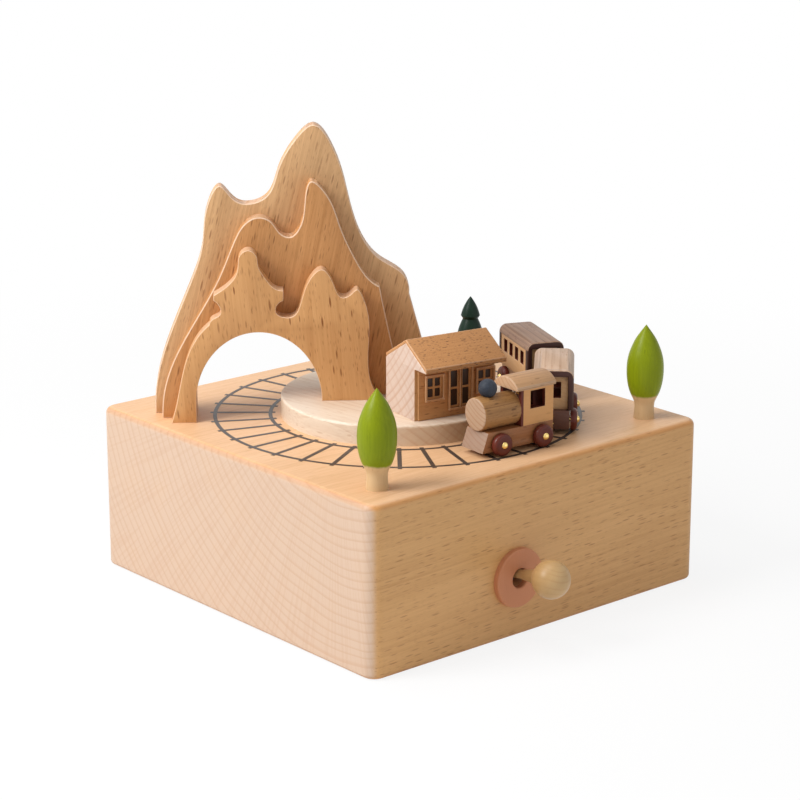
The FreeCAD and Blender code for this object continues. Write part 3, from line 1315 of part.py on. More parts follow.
def make_loco():
    """Locomotive: chassis with sloping front, boiler, ball chimney, cab, vaulted roof and magnet."""
    spot = vehicle_spot("loco")
    axles = ("loco_front_axle", "-loco_rear_axle")
    half = "loco_length / 2"
    body = new_body("loco_chassis_block")
    section = [("-" + half, "chassis_bottom"), (half, "chassis_bottom"),
               (half + " - catcher_slope", "chassis_top"), ("-" + half, "chassis_top")]
    extrude("Pad", body, polygon(new_sketch(body, "XZ_Plane"), section), "chassis_width", both_ways=True)
    magnet_seat = rod("loco_magnet_seat", "magnet_radius - 1", "loco_magnet_thickness",
                      ("0", "0", "chassis_bottom"))
    chassis = cut("loco_chassis", body, axle_holes("loco", axles) + [magnet_seat])
    node("loco_chassis", place(chassis, **spot))
    magnet_spot = ("loco_x", "loco_y", "block_height + chassis_bottom")
    node("loco_magnet", rod("loco_magnet", "magnet_radius - 1", "loco_magnet_thickness", magnet_spot))
    boiler = new_body("boiler_round")
    disc = circle(new_sketch(boiler, "YZ_Plane", "cab_front"), "0", "boiler_axis_height", "boiler_radius")
    extrude("Pad", boiler, disc, "boiler_front - cab_front")
    nose = size("boiler_front")
    fillet(boiler, "boiler_edge_radius", lambda e: e.BoundBox.XMin > nose - 1e-4)
    flat = box("boiler_flat", ("cab_front", "-boiler_radius", "boiler_axis_height - 2 * boiler_radius"),
               ("boiler_front - cab_front", "2 * boiler_radius",
                "chassis_top - boiler_axis_height + 2 * boiler_radius"))
    top = "boiler_axis_height + boiler_radius"
    chimney_x = "boiler_front - chimney_setback"
    hole = rod("chimney_hole", "chimney_peg_radius", "chimney_peg_length",
               (chimney_x, "0", top + " - chimney_peg_length"))
    ball = doc.addObject("Part::Sphere", "chimney_round")
    bind(ball, Radius="chimney_radius")
    place(ball, x=chimney_x, z=top + " + chimney_radius - chimney_sink")
    dish = doc.addObject("Part::Sphere", "chimney_dish")
    bind(dish, Radius="chimney_radius")
    place(dish, x=chimney_x, z=top + " + chimney_radius - chimney_sink")
    node("loco_boiler", place(cut("loco_boiler", boiler, [flat, hole, dish]), **spot))
    peg = rod("chimney_peg", "chimney_peg_radius", "chimney_peg_length",
              (chimney_x, "0", top + " - chimney_peg_length"))
    node("chimney_ball", place(fuse("chimney_ball", [ball, peg]), **spot))
    side = "cab_width / 2"
    shell = box("cab_shell", ("-" + half, "-" + side, "chassis_top"),
                ("cab_length", "cab_width", "cab_top - chassis_top"))
    room = box("cab_room", ("cab_wall - " + half, "cab_wall - " + side, "chassis_top + cab_floor"),
               ("cab_length - 2 * cab_wall", "cab_width - 2 * cab_wall", "cab_top - chassis_top"))
    window = box("cab_window", ("cab_front - cab_window_setback - cab_window_length", "-cab_width",
                                "cab_window_sill"),
                 ("cab_window_length", "2 * cab_width", "cab_top - cab_window_sill - 0.6"))
    cab_front_x = "cab_length - " + half
    front_window = box("cab_front_window", (cab_front_x + " - 2 * cab_wall", "1.2 - " + side,
                                            "boiler_axis_height + boiler_radius * 0.5"),
                       ("4 * cab_wall", "cab_width - 2.4",
                        "cab_top - boiler_axis_height - boiler_radius * 0.5 - 0.6"))
    node("loco_cab", place(cut("loco_cab", shell, [room, window, front_window]), **spot))
    make_cab_roof(spot)
    make_wheels("loco", axles)
    numbers = [size("loco_front_axle"), -size("loco_rear_axle")]
    pieces = nails(numbers) + [eye(-size("loco_length") / 2)]
    fixed_shape("loco_fittings", Part.makeCompound(pieces), vehicle_placement("loco"))


def make_cab_roof(spot):
    """Vaulted roof of the cab: a round back over a straight edge."""
    width, rise, edge = size("cab_roof_width"), size("cab_roof_rise"), size("cab_roof_edge")
    low = size("cab_top")
    start = -size("loco_length") / 2 - size("cab_roof_rear")
    end = -size("loco_length") / 2 + size("cab_length") + size("cab_roof_front")
    left, right = Vector(start, -width / 2, low), Vector(start, width / 2, low)
    up = Vector(0, 0, edge)
    crown = Vector(start, 0, low + edge + rise)
    edges = [Part.LineSegment(left, right).toShape(), Part.LineSegment(right, right + up).toShape(),
             Part.Arc(right + up, crown, left + up).toShape(), Part.LineSegment(left + up, left).toShape()]
    shape = Part.Face(Part.Wire(edges)).extrude(Vector(end - start, 0, 0))
    fixed_shape("cab_roof", shape, vehicle_placement("loco"))


def roof_corner(edge):
    """Test for the two long upper corners of a coach."""
    box_of_edge = edge.BoundBox
    high = box_of_edge.ZMin > size("coach_top") - 1e-3
    return high and abs(box_of_edge.Center.y) > size("coach_width") / 2 - 1e-3


def make_coach(vehicle, leader, leader_tail):
    """Coach: chassis, hollow body with windows, two dark end frames and a round-edged roof."""
    spot = vehicle_spot(vehicle)
    axles = ("coach_axle", "-coach_axle")
    half, side = "coach_length / 2", "coach_width / 2"
    block = box(vehicle + "_block", ("-" + half, "-chassis_width / 2", "chassis_bottom"),
                ("coach_length", "chassis_width", "chassis_top - chassis_bottom"))
    node(vehicle + "_chassis", place(cut(vehicle + "_chassis", block, axle_holes(vehicle, axles)), **spot))
    inset = "coach_wall_inset"
    eave = "coach_top - coach_roof"
    shell = box(vehicle + "_shell", ("frame_thickness - " + half, inset + " - " + side, "chassis_top"),
                ("coach_length - 2 * frame_thickness", "coach_width - 2 * " + inset, eave + " - chassis_top"))
    rooms = []
    for x in ("frame_thickness + coach_wall - " + half, "coach_wall / 2"):
        rooms.append(box(vehicle + "_room", (x, inset + " + coach_wall - " + side,
                                             "chassis_top + coach_wall"),
                         (half + " - frame_thickness - 1.5 * coach_wall",
                          "coach_width - 2 * (coach_wall + coach_wall_inset)", eave + " - chassis_top")))
    cutters = rooms
    for i in range(int(size("coach_windows"))):
        x = "(%d - (coach_windows - 1) / 2) * coach_window_pitch - coach_window_width / 2" % i
        cutters.append(box(vehicle + "_window", (x, "-coach_width", "coach_window_sill"),
                           ("coach_window_width", "2 * coach_width", "coach_window_height")))
    cutters.append(box(vehicle + "_end_window", ("-coach_length", "-end_window_width / 2", "end_window_sill"),
                       ("2 * coach_length", "end_window_width", "end_window_height")))
    node(vehicle + "_body", place(cut(vehicle + "_body", shell, cutters), **spot))
    frames = []
    for end in ("-" + half, half + " - frame_thickness"):
        frame = new_body(vehicle + "_frame")
        blank = rectangle(new_sketch(frame, "YZ_Plane", end), "-" + side, side, "chassis_top", "coach_top")
        extrude("Pad", frame, blank, "frame_thickness")
        fillet(frame, "coach_roof_corner", roof_corner)
        gap = new_sketch(frame, "YZ_Plane", end)
        rectangle(gap, "frame_leg - " + side, side + " - frame_leg", "chassis_top - 1",
                  "coach_top - frame_leg - 0.3")
        extrude("Pocket", frame, gap, "frame_thickness", backwards=True)
        frames.append(frame)
    pair = doc.addObject("Part::Compound", vehicle + "_frames")
    pair.Links = frames
    node(vehicle + "_frames", place(pair, **spot))
    roof = new_body(vehicle + "_roof")
    blank = rectangle(new_sketch(roof, "YZ_Plane", "frame_thickness - " + half), "-" + side, side, eave,
                      "coach_top")
    extrude("Pad", roof, blank, "coach_length - 2 * frame_thickness")
    fillet(roof, "coach_roof_corner", roof_corner)
    node(vehicle + "_roof", place(roof, **spot))
    make_wheels(vehicle, axles)
    numbers = [size("coach_axle"), -size("coach_axle")]
    placement = vehicle_placement(vehicle)
    target = placement.inverse().multVec(eye_middle(leader, leader_tail))
    pieces = nails(numbers) + [hook(size("coach_length") / 2, target)]
    if vehicle == "coach_1":
        pieces.append(eye(-size("coach_length") / 2))
    fixed_shape(vehicle + "_fittings", Part.makeCompound(pieces), placement)


make_block()
make_board()
make_screws()
make_track()
make_platform()
make_mountain("mountain_front", FRONT_OUTLINE, 0)
make_mountain("mountain_middle", MIDDLE_OUTLINE, 1)
make_mountain("mountain_back", BACK_OUTLINE, 2)
make_station()
make_trees()
make_bedplate()
make_barrel()
make_mainspring()
make_arbor_and_key()
make_bridge()
make_magnet_arm()
make_cylinder()
make_comb()
make_second_wheel()
make_governor()
make_lever()
make_loco()
make_coach("coach_1", "loco", -size("loco_length") / 2)
make_coach("coach_2", "coach_1", -size("coach_length") / 2)
doc.recompute()

for item in doc.Objects:
    if "Invalid" in item.State or "Error" in item.State:
        raise RuntimeError("%s failed: %s" % (item.Name, item.State))
for name, item in nodes.items():
    if item.Shape.isNull() or not item.Shape.isValid() or not item.Shape.Solids:
        raise RuntimeError("%s has no valid solid" % name)

os.makedirs("parts", exist_ok=True)
for name, item in nodes.items():
    item.Shape.exportStep("parts/%s.step" % name)
print("%d pieces" % len(nodes))
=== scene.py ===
# %% [markdown]
# # A wooden railway music box
#
# The real thing is a beech block with a wind-up movement inside. A magnet under the top draws a little
# wooden train round a printed track, through a tunnel in three mountain boards and past a station.
# The solid model gives every piece its size and place. This lesson dresses it: it eases the edges, adds the
# small trim and gives each piece its wood, paint or metal.

# %% Load the solid model
import json
from math import cos, radians, sin

import bpy
from mathutils import Matrix, Vector

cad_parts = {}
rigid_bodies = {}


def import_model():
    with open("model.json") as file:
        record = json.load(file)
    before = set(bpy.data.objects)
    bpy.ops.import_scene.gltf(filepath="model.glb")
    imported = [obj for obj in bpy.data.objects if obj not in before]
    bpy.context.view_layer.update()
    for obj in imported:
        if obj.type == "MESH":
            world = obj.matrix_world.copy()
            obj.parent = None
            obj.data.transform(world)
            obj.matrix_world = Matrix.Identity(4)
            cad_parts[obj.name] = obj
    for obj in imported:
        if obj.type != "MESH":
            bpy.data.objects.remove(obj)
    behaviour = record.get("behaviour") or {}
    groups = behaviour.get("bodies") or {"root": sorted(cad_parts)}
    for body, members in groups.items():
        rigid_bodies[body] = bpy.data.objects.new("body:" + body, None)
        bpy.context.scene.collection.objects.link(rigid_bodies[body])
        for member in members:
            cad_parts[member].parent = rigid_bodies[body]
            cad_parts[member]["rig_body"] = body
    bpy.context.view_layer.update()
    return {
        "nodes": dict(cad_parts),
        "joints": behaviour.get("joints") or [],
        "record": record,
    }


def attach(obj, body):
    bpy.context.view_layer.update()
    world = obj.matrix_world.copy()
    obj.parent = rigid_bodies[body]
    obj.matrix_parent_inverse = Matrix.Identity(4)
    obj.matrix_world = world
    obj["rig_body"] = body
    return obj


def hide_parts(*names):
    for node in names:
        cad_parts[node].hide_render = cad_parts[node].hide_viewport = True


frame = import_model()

nodes = frame["nodes"]
MM = 0.001

# %% [markdown]
# ## Camera
#
# The camera stands where the photographer stood: a little above the box, looking at its front corner
# through a long lens. A track-to constraint would also aim it, but a turn worked out from two angles
# stays fixed.

# %% Camera
CAMERA_SPOT = (0.546857, -0.469237, 0.263176)
CAMERA_TURN = radians(49.314)
CAMERA_RISE = radians(16.273)
LENS = 114.99
SENSOR = 36.0
NEAREST = 0.01
back = Vector((sin(CAMERA_TURN) * cos(CAMERA_RISE), -cos(CAMERA_TURN) * cos(CAMERA_RISE), sin(CAMERA_RISE)))
bpy.ops.object.select_all(action="DESELECT")
bpy.ops.object.camera_add(location=CAMERA_SPOT)
camera = bpy.context.object
camera.rotation_euler = back.to_track_quat("Z", "Y").to_euler()
camera.data.lens = LENS
camera.data.sensor_width = SENSOR
camera.data.clip_start = NEAREST
bpy.context.scene.camera = camera
bpy.context.scene.view_settings.view_transform = "Standard"
print("camera", round(camera.location.length, 3), "m from the box")

# %% [markdown]
# ## Helpers for shader nodes
#
# A material is a small network. These helpers add one node at a time and fill its inputs, either with a
# plain value or with the output of another node, so that the networks below read like short sums.


# %% Node helpers
def put(tree, kind, inputs=None, **options):
    """Add a shader node, set its options, and fill its inputs from values or from other nodes' outputs."""
    made = tree.nodes.new("ShaderNode" + kind)
    for key, value in options.items():
        setattr(made, key, value)
    for key, value in (inputs or {}).items():
        socket = made.inputs[key]
        if isinstance(value, bpy.types.NodeSocket):
            tree.links.new(value, socket)
        else:
            socket.default_value = value
    return made


def calc(tree, operation, a, b=0.0):
    """Output of a math node."""
    return put(tree, "Math", {0: a, 1: b}, operation=operation).outputs[0]


def smooth(tree, value, low, high):
    """Value carried from 0 at low to 1 at high, with soft ends."""
    inputs = {"Value": value, "From Min": low, "From Max": high}
    return put(tree, "MapRange", inputs, interpolation_type="SMOOTHSTEP").outputs[0]


def mixed(tree, factor, first, second, kind="MIX"):
    """Colour between two colours."""
    inputs = {0: factor, 6: first, 7: second}
    return put(tree, "Mix", inputs, data_type="RGBA", blend_type=kind).outputs[2]


def noise(tree, place, stretch, detail=3.0, roughness=0.55):
    """Noise between 0 and 1, with blotches as long as the three lengths of stretch, in millimetres."""
    inverse = tuple(1.0 / length for length in stretch)
    scaled = put(tree, "VectorMath", {0: place, 1: inverse}, operation="MULTIPLY").outputs[0]
    inputs = {"Vector": scaled, "Scale": 1.0, "Detail": detail, "Roughness": roughness}
    return put(tree, "TexNoise", inputs).outputs[0]


def rgb(red, green, blue):
    """Colour with full opacity."""
    return (red, green, blue, 1.0)


print("helpers for nodes ready")

# %% [markdown]
# ## A group of nodes
#
# A group is a network with its own inputs, which many materials can share. Changing the group changes them
# all. The helper makes an empty one: a number gets a value socket, a colour a colour socket, and an input
# without a value stays a direction or a place.


# %% Group helper
def new_group(name, inputs, outputs):
    """Empty shader group with named sockets; a group's value inputs are given with their usual value."""
    group = bpy.data.node_groups.new(name, "ShaderNodeTree")
    for label, value in inputs.items():
        kind = {float: "NodeSocketFloat", tuple: "NodeSocketColor"}.get(type(value), "NodeSocketVector")
        socket = group.interface.new_socket(label, in_out="INPUT", socket_type=kind)
        if value is not None:
            socket.default_value = value
    for label in outputs:
        kind = "NodeSocketColor" if label == "Color" else "NodeSocketFloat"
        group.interface.new_socket(label, in_out="OUTPUT", socket_type=kind)
    start = group.nodes.new("NodeGroupInput")
    end = group.nodes.new("NodeGroupOutput")
    return group, start.outputs, end.inputs


print("helper for groups ready")

# %% [markdown]
# ## Solid wood
#
# Nearly everything here is solid wood, so one shader group serves them all. It works in millimetres in the
# tree's own directions: X runs along the grain and the growth rings lie round the X axis. Long noise makes
# fibre streaks, and a sawtooth of the distance from the axis makes rings. The first five values are the
# lengths of each kind of noise, along the grain and across it.
# An image of wood would be quicker, but it would show seams where faces meet: a solid pattern runs through.

# %% Rings and streaks
BENDS = (160, 30, 30)
YEARS = (2.7, 1, 1)
RING_PATCHES = (60, 7, 7)
FIBRES = (22, 0.55, 0.55)
CLOUDS = (70, 18, 18)
UNEVENNESS = 1.6
LATE_SHARPNESS = 2.5
CLOUD_DEPTH = 0.9
USUAL_TONE = 0.25
figure, given, made = new_group(
    "wood_figure",
    {"Place": None, "Facing": None, "Early": rgb(0.74, 0.46, 0.25), "Late": rgb(0.62, 0.35, 0.17),
     "Fleck": rgb(0.36, 0.18, 0.07), "End": rgb(0.77, 0.54, 0.40), "Ring Width": 2.0, "Rings": 0.4,
     "Streaks": 0.5, "Flecks": 0.6, "Fleck Share": 0.16, "Fleck Length": 5.0, "Fleck Width": 0.8,
     "Wander": 2.5, "Rays": 0.16, "Gloss": 0.45},
    ["Color", "Roughness", "Height"])
place = given["Place"]
axes = put(figure, "SeparateXYZ", {0: place}).outputs
across = put(figure, "CombineXYZ", {"Y": axes["Y"], "Z": axes["Z"]}).outputs[0]
distance = put(figure, "VectorMath", {0: across}, operation="LENGTH").outputs["Value"]
wander = calc(figure, "SUBTRACT", noise(figure, place, BENDS, 1.0), 0.5)
ring_place = calc(figure, "ADD", calc(figure, "DIVIDE", distance, given["Ring Width"]),
                  calc(figure, "MULTIPLY", wander, given["Wander"]))
uneven = noise(figure, put(figure, "CombineXYZ", {"X": ring_place}).outputs[0], YEARS, 2.0)
ring = calc(figure, "FRACT", calc(figure, "ADD", ring_place, calc(figure, "MULTIPLY", uneven, UNEVENNESS)))
shown = smooth(figure, noise(figure, place, RING_PATCHES, 2.0), 0.3, 0.7)
late = calc(figure, "MULTIPLY", calc(figure, "POWER", ring, LATE_SHARPNESS), shown)
streak = calc(figure, "SUBTRACT", noise(figure, place, FIBRES, 4.0, 0.65), 0.5)
cloud = calc(figure, "SUBTRACT", noise(figure, place, CLOUDS, 2.0), 0.5)
facing = calc(figure, "ABSOLUTE", put(figure, "SeparateXYZ", {0: given["Facing"]}).outputs["X"])
end_cut = smooth(figure, facing, 0.4, 0.85)
side_cut = calc(figure, "SUBTRACT", 1.0, end_cut)
tone = calc(figure, "ADD", calc(figure, "MULTIPLY", late, given["Rings"]),
            calc(figure, "MULTIPLY", streak, given["Streaks"]))
tone = calc(figure, "ADD", tone, calc(figure, "MULTIPLY", cloud, CLOUD_DEPTH))
lengthwise = mixed(figure, calc(figure, "ADD", tone, USUAL_TONE), given["Early"], given["Late"])
print("rings and streaks along the grain")

# %% [markdown]
# ## Flecks of beech
#
# Beech is known by its short dark flecks, which lie along the grain. Stretched Voronoi cells make them: a
# share of the cells is chosen by chance, each with its own reach and depth, and a second, smaller set of
# cells adds fine specks. Noise would give blotches that run together, while cells stay apart.

# %% Flecks
LEAST_REACH = 0.18
REACH_SPREAD = 0.3
LEAST_DEPTH = 0.4
DEPTH_SPREAD = 0.6
CORE_SHARE = 0.4
SPECK_SCALE = 2.1
SPECK_DEPTH = 0.45
fleck_inputs = {"X": calc(figure, "DIVIDE", axes["X"], given["Fleck Length"]),
                "Y": calc(figure, "DIVIDE", axes["Y"], given["Fleck Width"]),
                "Z": calc(figure, "DIVIDE", axes["Z"], given["Fleck Width"])}
fleck_place = put(figure, "CombineXYZ", fleck_inputs).outputs[0]
cells = put(figure, "TexVoronoi", {"Vector": fleck_place, "Scale": 1.0})
chance = put(figure, "SeparateColor", {0: cells.outputs["Color"]}).outputs
chosen = calc(figure, "LESS_THAN", chance[0], given["Fleck Share"])
reach = calc(figure, "ADD", calc(figure, "MULTIPLY", chance[1], REACH_SPREAD), LEAST_REACH)
depth = calc(figure, "ADD", calc(figure, "MULTIPLY", chance[2], DEPTH_SPREAD), LEAST_DEPTH)
core = calc(figure, "MULTIPLY", reach, CORE_SHARE)
dash = calc(figure, "MULTIPLY", smooth(figure, cells.outputs["Distance"], reach, core), chosen)
dash = calc(figure, "MULTIPLY", dash, depth)
small = put(figure, "TexVoronoi", {"Vector": fleck_place, "Scale": SPECK_SCALE})
small_chance = put(figure, "SeparateColor", {0: small.outputs["Color"]}).outputs
speck = calc(figure, "MULTIPLY", smooth(figure, small.outputs["Distance"], 0.4, 0.05),
             calc(figure, "LESS_THAN", small_chance[0], given["Fleck Share"]))
dash = calc(figure, "MAXIMUM", dash, calc(figure, "MULTIPLY", speck, SPECK_DEPTH))
dash = calc(figure, "MULTIPLY", dash, side_cut)
print("flecks in two sizes")

# %% [markdown]
# ## End grain
#
# Where a face is cut across the grain, the tone turns paler, thin dark arcs show the rings, and fine rays run
# out from the middle of the tree. The rays come from noise over the direction from that middle. An angle
# would serve as well, but it jumps at the half turn and would draw a seam.

# %% End grain
SPOKES = 110.0
RAY_DRIFT = 0.03
ARC_TINT = rgb(0.85, 0.70, 0.60)
spoke = put(figure, "VectorMath", {0: across}, operation="NORMALIZE").outputs[0]
spoke = put(figure, "VectorMath", {0: spoke, "Scale": SPOKES}, operation="SCALE").outputs[0]
outwards = put(figure, "CombineXYZ", {"X": calc(figure, "MULTIPLY", distance, RAY_DRIFT)}).outputs[0]
ray_place = put(figure, "VectorMath", {0: spoke, 1: outwards}, operation="ADD").outputs[0]
ray = smooth(figure, noise(figure, ray_place, (1, 1, 1), 1.0), 0.48, 0.62)
arc = calc(figure, "MULTIPLY", smooth(figure, ring, 0.55, 0.9), smooth(figure, ring, 1.0, 0.93))
dusk = mixed(figure, 1.0, given["End"], ARC_TINT, "MULTIPLY")
cross_tone = mixed(figure, calc(figure, "MULTIPLY", arc, given["Rings"]), given["End"], dusk)
cross_tone = mixed(figure, calc(figure, "MULTIPLY", ray, given["Rays"]), cross_tone, dusk)
cross_tone = mixed(figure, calc(figure, "MULTIPLY", cloud, 0.35), cross_tone, given["Early"])
wood_tone = mixed(figure, end_cut, lengthwise, cross_tone)
print("arcs and rays across the grain")

# %% [markdown]
# ## Colour, gloss and relief
#
# The group gives three results. The colour is the wood's tone with the flecks over it. The gloss is a little
# duller in dark fibres and in flecks. The relief raises the fibres and sinks the flecks, by no more than a
# sanded surface feels like. Real grooves would need millions of faces.

# %% Results of the group
flecked = mixed(figure, calc(figure, "MULTIPLY", dash, given["Flecks"]), wood_tone, given["Fleck"])
figure.links.new(flecked, made["Color"])
rough = calc(figure, "ADD", given["Gloss"], calc(figure, "MULTIPLY", streak, 0.22))
figure.links.new(calc(figure, "ADD", rough, calc(figure, "MULTIPLY", dash, 0.12)), made["Roughness"])
relief = calc(figure, "SUBTRACT", calc(figure, "ADD", streak, calc(figure, "MULTIPLY", late, 0.25)),
              calc(figure, "MULTIPLY", dash, 0.7))
figure.links.new(relief, made["Height"])
print("wood group with", len(figure.nodes), "nodes")

# %% [markdown]
# ## Wood for one piece
#
# A piece of wood is cut from somewhere in a tree. Each wood material therefore says where its grain runs and
# where the middle of the tree lay, and places the shared group by that. The places come from the object's
# own coordinates, so the figure stays in the piece when it moves.


# %% Wood materials
COAT_ROUGHNESS = 0.35
GRAIN_DEPTH = 0.1 * MM
TONE_LABELS = ("Early", "Late", "Fleck", "End")


def begin(name):
    """New material with its node tree and its shader."""
    material = bpy.data.materials.new(name)
    material.use_nodes = True
    return material, material.node_tree, material.node_tree.nodes["Principled BSDF"]


def millimetres(tree):
    """Place on the object, in millimetres."""
    source = put(tree, "TexCoord").outputs["Object"]
    inputs = {"Vector": source, "Scale": (MM, MM, MM)}
    return put(tree, "Mapping", inputs, vector_type="TEXTURE").outputs[0]


def raise_surface(tree, shader, height, strength, depth):
    """Let a height shape the shader's normal."""
    inputs = {"Height": height, "Strength": strength, "Distance": depth}
    tree.links.new(put(tree, "Bump", inputs).outputs[0], shader.inputs["Normal"])


def wood(name, along, pith, tones, coat=0.0, bump=0.25, shine=0.3, **values):
    """Wood with its grain along a direction, and its rings round a line through pith, in millimetres."""
    material, tree, shader = begin(name)
    turn = Vector(along).to_track_quat("X", "Z").to_euler()
    source = put(tree, "TexCoord").outputs
    place_inputs = {"Vector": source["Object"], "Location": Vector(pith) * MM, "Rotation": turn,
                    "Scale": (MM, MM, MM)}
    spot = put(tree, "Mapping", place_inputs, vector_type="TEXTURE").outputs[0]
    facing_inputs = {"Vector": source["Normal"], "Rotation": turn}
    faced = put(tree, "Mapping", facing_inputs, vector_type="TEXTURE").outputs[0]
    group = put(tree, "Group", node_tree=figure)
    tree.links.new(spot, group.inputs["Place"])
    tree.links.new(faced, group.inputs["Facing"])
    for label, tone_value in zip(TONE_LABELS, tones):
        group.inputs[label].default_value = rgb(*tone_value)
    for key, value in values.items():
        group.inputs[key.replace("_", " ").title()].default_value = value
    tree.links.new(group.outputs["Color"], shader.inputs["Base Color"])
    tree.links.new(group.outputs["Roughness"], shader.inputs["Roughness"])
    shader.inputs["Specular IOR Level"].default_value = shine
    shader.inputs["Coat Weight"].default_value = coat
    shader.inputs["Coat Roughness"].default_value = COAT_ROUGHNESS
    raise_surface(tree, shader, group.outputs["Height"], bump, GRAIN_DEPTH)
    return material


def dress(names, material):
    """Give solid pieces a material."""
    for name in names:
        slots = nodes[name].data.materials
        slots.clear()
        slots.append(material)


print("helpers for wood ready")

# %% [markdown]
# ## The block
#
# The block is one thick piece of beech with its grain along the right-hand face, so the left-hand face shows
# end grain. The top is sanded finer, so its flecks are faint, and it is tinted paler and bluer as painted
# sheen from the light that grazes it. The rounded edges are a little darker. Masks from the surface's own
# direction part the three.

# %% Block wood
BEECH = ((0.703, 0.392, 0.151), (0.550, 0.280, 0.091), (0.310, 0.130, 0.035), (0.611, 0.437, 0.316))
TOP_SHEEN_TINT = rgb(1.11, 1.24, 1.83)
EDGE_TINT = rgb(0.93, 0.80, 0.68)
SIDE_FLECKS = 0.6
FLECKS_LOST_ON_TOP = 0.42
block_wood = wood("beech_block", (0, 1, 0.03), (48, 0, 88), BEECH, shine=0.5, ring_width=2.7, rings=0.42,
                  streaks=1.3, fleck_share=0.6, fleck_length=5.0, fleck_width=0.65, rays=0.2, wander=1.4)
tree = block_wood.node_tree
group = next(found for found in tree.nodes if found.type == "GROUP")
up = put(tree, "SeparateXYZ", {0: put(tree, "TexCoord").outputs["Normal"]}).outputs["Z"]
slope = calc(tree, "ABSOLUTE", up)
level = smooth(tree, slope, 0.6, 0.97)
lost = calc(tree, "MULTIPLY", level, FLECKS_LOST_ON_TOP)
tree.links.new(calc(tree, "SUBTRACT", SIDE_FLECKS, lost), group.inputs["Flecks"])
# painted sheen: the top is tinted paler and bluer for the light that grazes it
sanded_and_sheened = mixed(tree, level, group.outputs["Color"], TOP_SHEEN_TINT, "MULTIPLY")
rounded = calc(tree, "MULTIPLY", smooth(tree, slope, 0.1, 0.5), smooth(tree, slope, 0.99, 0.8))
sanded_and_sheened = mixed(tree, rounded, sanded_and_sheened, EDGE_TINT, "MULTIPLY")
tree.links.new(sanded_and_sheened, tree.nodes["Principled BSDF"].inputs["Base Color"])
dress(["base_block"], block_wood)
print("block wood with", len(tree.nodes), "nodes")

# %% [markdown]
# ## Studio
#
# The photograph has one broad soft light from the upper left, so the left face is bright, the right face lies
# in mild shade, and each mountain board shades the next. A big area lamp gives that. A higher one lights the
# tops, and a weak one fills the right. Sun lamps would throw sharp shadows, which the photograph lacks.


# %% Lamps
def softbox(name, spot, aim, width, power):
    """Square area lamp at a spot, turned to a point."""
    bpy.ops.object.select_all(action="DESELECT")
    bpy.ops.object.light_add(type="AREA", location=spot)
    lamp = bpy.context.object
    lamp.name = name
    lamp.rotation_euler = (Vector(spot) - Vector(aim)).to_track_quat("Z", "Y").to_euler()
    lamp.data.size = width
    lamp.data.energy = power


MIDDLE = (0.0, 0.0, 0.06)
softbox("key_lamp", (-0.16, -0.54, 0.52), MIDDLE, width=0.32, power=4.75)
softbox("side_lamp", (-0.10, -0.15, 0.73), MIDDLE, width=0.4, power=1.75)
softbox("fill_lamp", (0.70, 0.16, 0.22), MIDDLE, width=0.6, power=0.7)
print("three lamps aimed at", MIDDLE)

# %% [markdown]
# ## White ground
#
# The ground of the photograph is plain white. The world and the floor are white for the eye and for mirrors,
# and only a soft grey for the light that they cast, so the object isn't washed out. The floor still takes a
# faint shadow near the box, which fades outwards.


# %% World
def seen_or_mirrored(tree):
    """1 for rays that the eye or a mirror sends, 0 for rays that only carry light."""
    path = put(tree, "LightPath").outputs
    seen = calc(tree, "MAXIMUM", path["Is Camera Ray"], path["Is Glossy Ray"])
    return calc(tree, "MAXIMUM", seen, path["Is Transmission Ray"])


WHITE = rgb(1, 1, 1)
GLOW = rgb(0.32, 0.32, 0.32)
world = bpy.data.worlds.new("white_room")
bpy.context.scene.world = world
world.use_nodes = True
tree = world.node_tree
glow = mixed(tree, seen_or_mirrored(tree), GLOW, WHITE)
tree.links.new(glow, tree.nodes["Background"].inputs["Color"])
print("world", world.name)

# %% [markdown]
# ## Floor
#
# The floor is a wide plane just under the box. Its shader is partly a plain white glow, less so near the box,
# and the rest is a matt white surface that takes the shadow.

# %% Floor
FLOOR_WIDTH = 6.0
FLOOR_DROP = 0.0001
LEAST_WHITE = 0.86
bpy.ops.mesh.primitive_plane_add(size=FLOOR_WIDTH, location=(0, 0, -FLOOR_DROP))
floor = bpy.context.object
floor.name = "floor"
material, tree, shader = begin("white_floor")
shader.inputs["Roughness"].default_value = 0.9
shader.inputs["Specular IOR Level"].default_value = 0.0
ground = put(tree, "TexCoord").outputs["Object"]
grain = noise(tree, ground, (0.4, 0.4, 0.4), 2.0)
tree.links.new(mixed(tree, grain, rgb(0.86, 0.86, 0.86), rgb(0.88, 0.88, 0.88)), shader.inputs["Base Color"])
white = put(tree, "Emission", {"Color": WHITE, "Strength": 1.0}).outputs[0]
far = put(tree, "VectorMath", {0: ground}, operation="LENGTH").outputs["Value"]
rise = calc(tree, "MULTIPLY", smooth(tree, far, 0.1, 0.4), 1.0 - LEAST_WHITE)
bright = calc(tree, "ADD", rise, LEAST_WHITE)
share = calc(tree, "MULTIPLY", seen_or_mirrored(tree), bright)
both = put(tree, "MixShader", {0: share, 1: shader.outputs[0], 2: white}).outputs[0]
tree.links.new(both, tree.nodes["Material Output"].inputs["Surface"])
floor.data.materials.append(material)
print("floor", FLOOR_WIDTH, "m wide")

# %% [markdown]
# ## Copies with clean faces
#
# A solid piece arrives as loose triangles, which no edge tool can work on. A copy is therefore merged into
# clean faces: its doubled corners are welded and its flat triangles dissolved. The copy then stands for the
# solid piece, which stays hidden as it is.


# %% Clean copies
WELD = 2e-6
FLAT = radians(0.5)


def select_only(piece):
    """Make one object the selected and active one."""
    bpy.ops.object.select_all(action="DESELECT")
    piece.select_set(True)
    bpy.context.view_layer.objects.active = piece


def finish_piece(piece, body, slot_name, *replaced):
    """Attach a piece to the body that carries it and hide the solid pieces it stands for; slot_name is not
    used.
    """
    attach(piece, body)
    if replaced:
        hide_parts(*replaced)


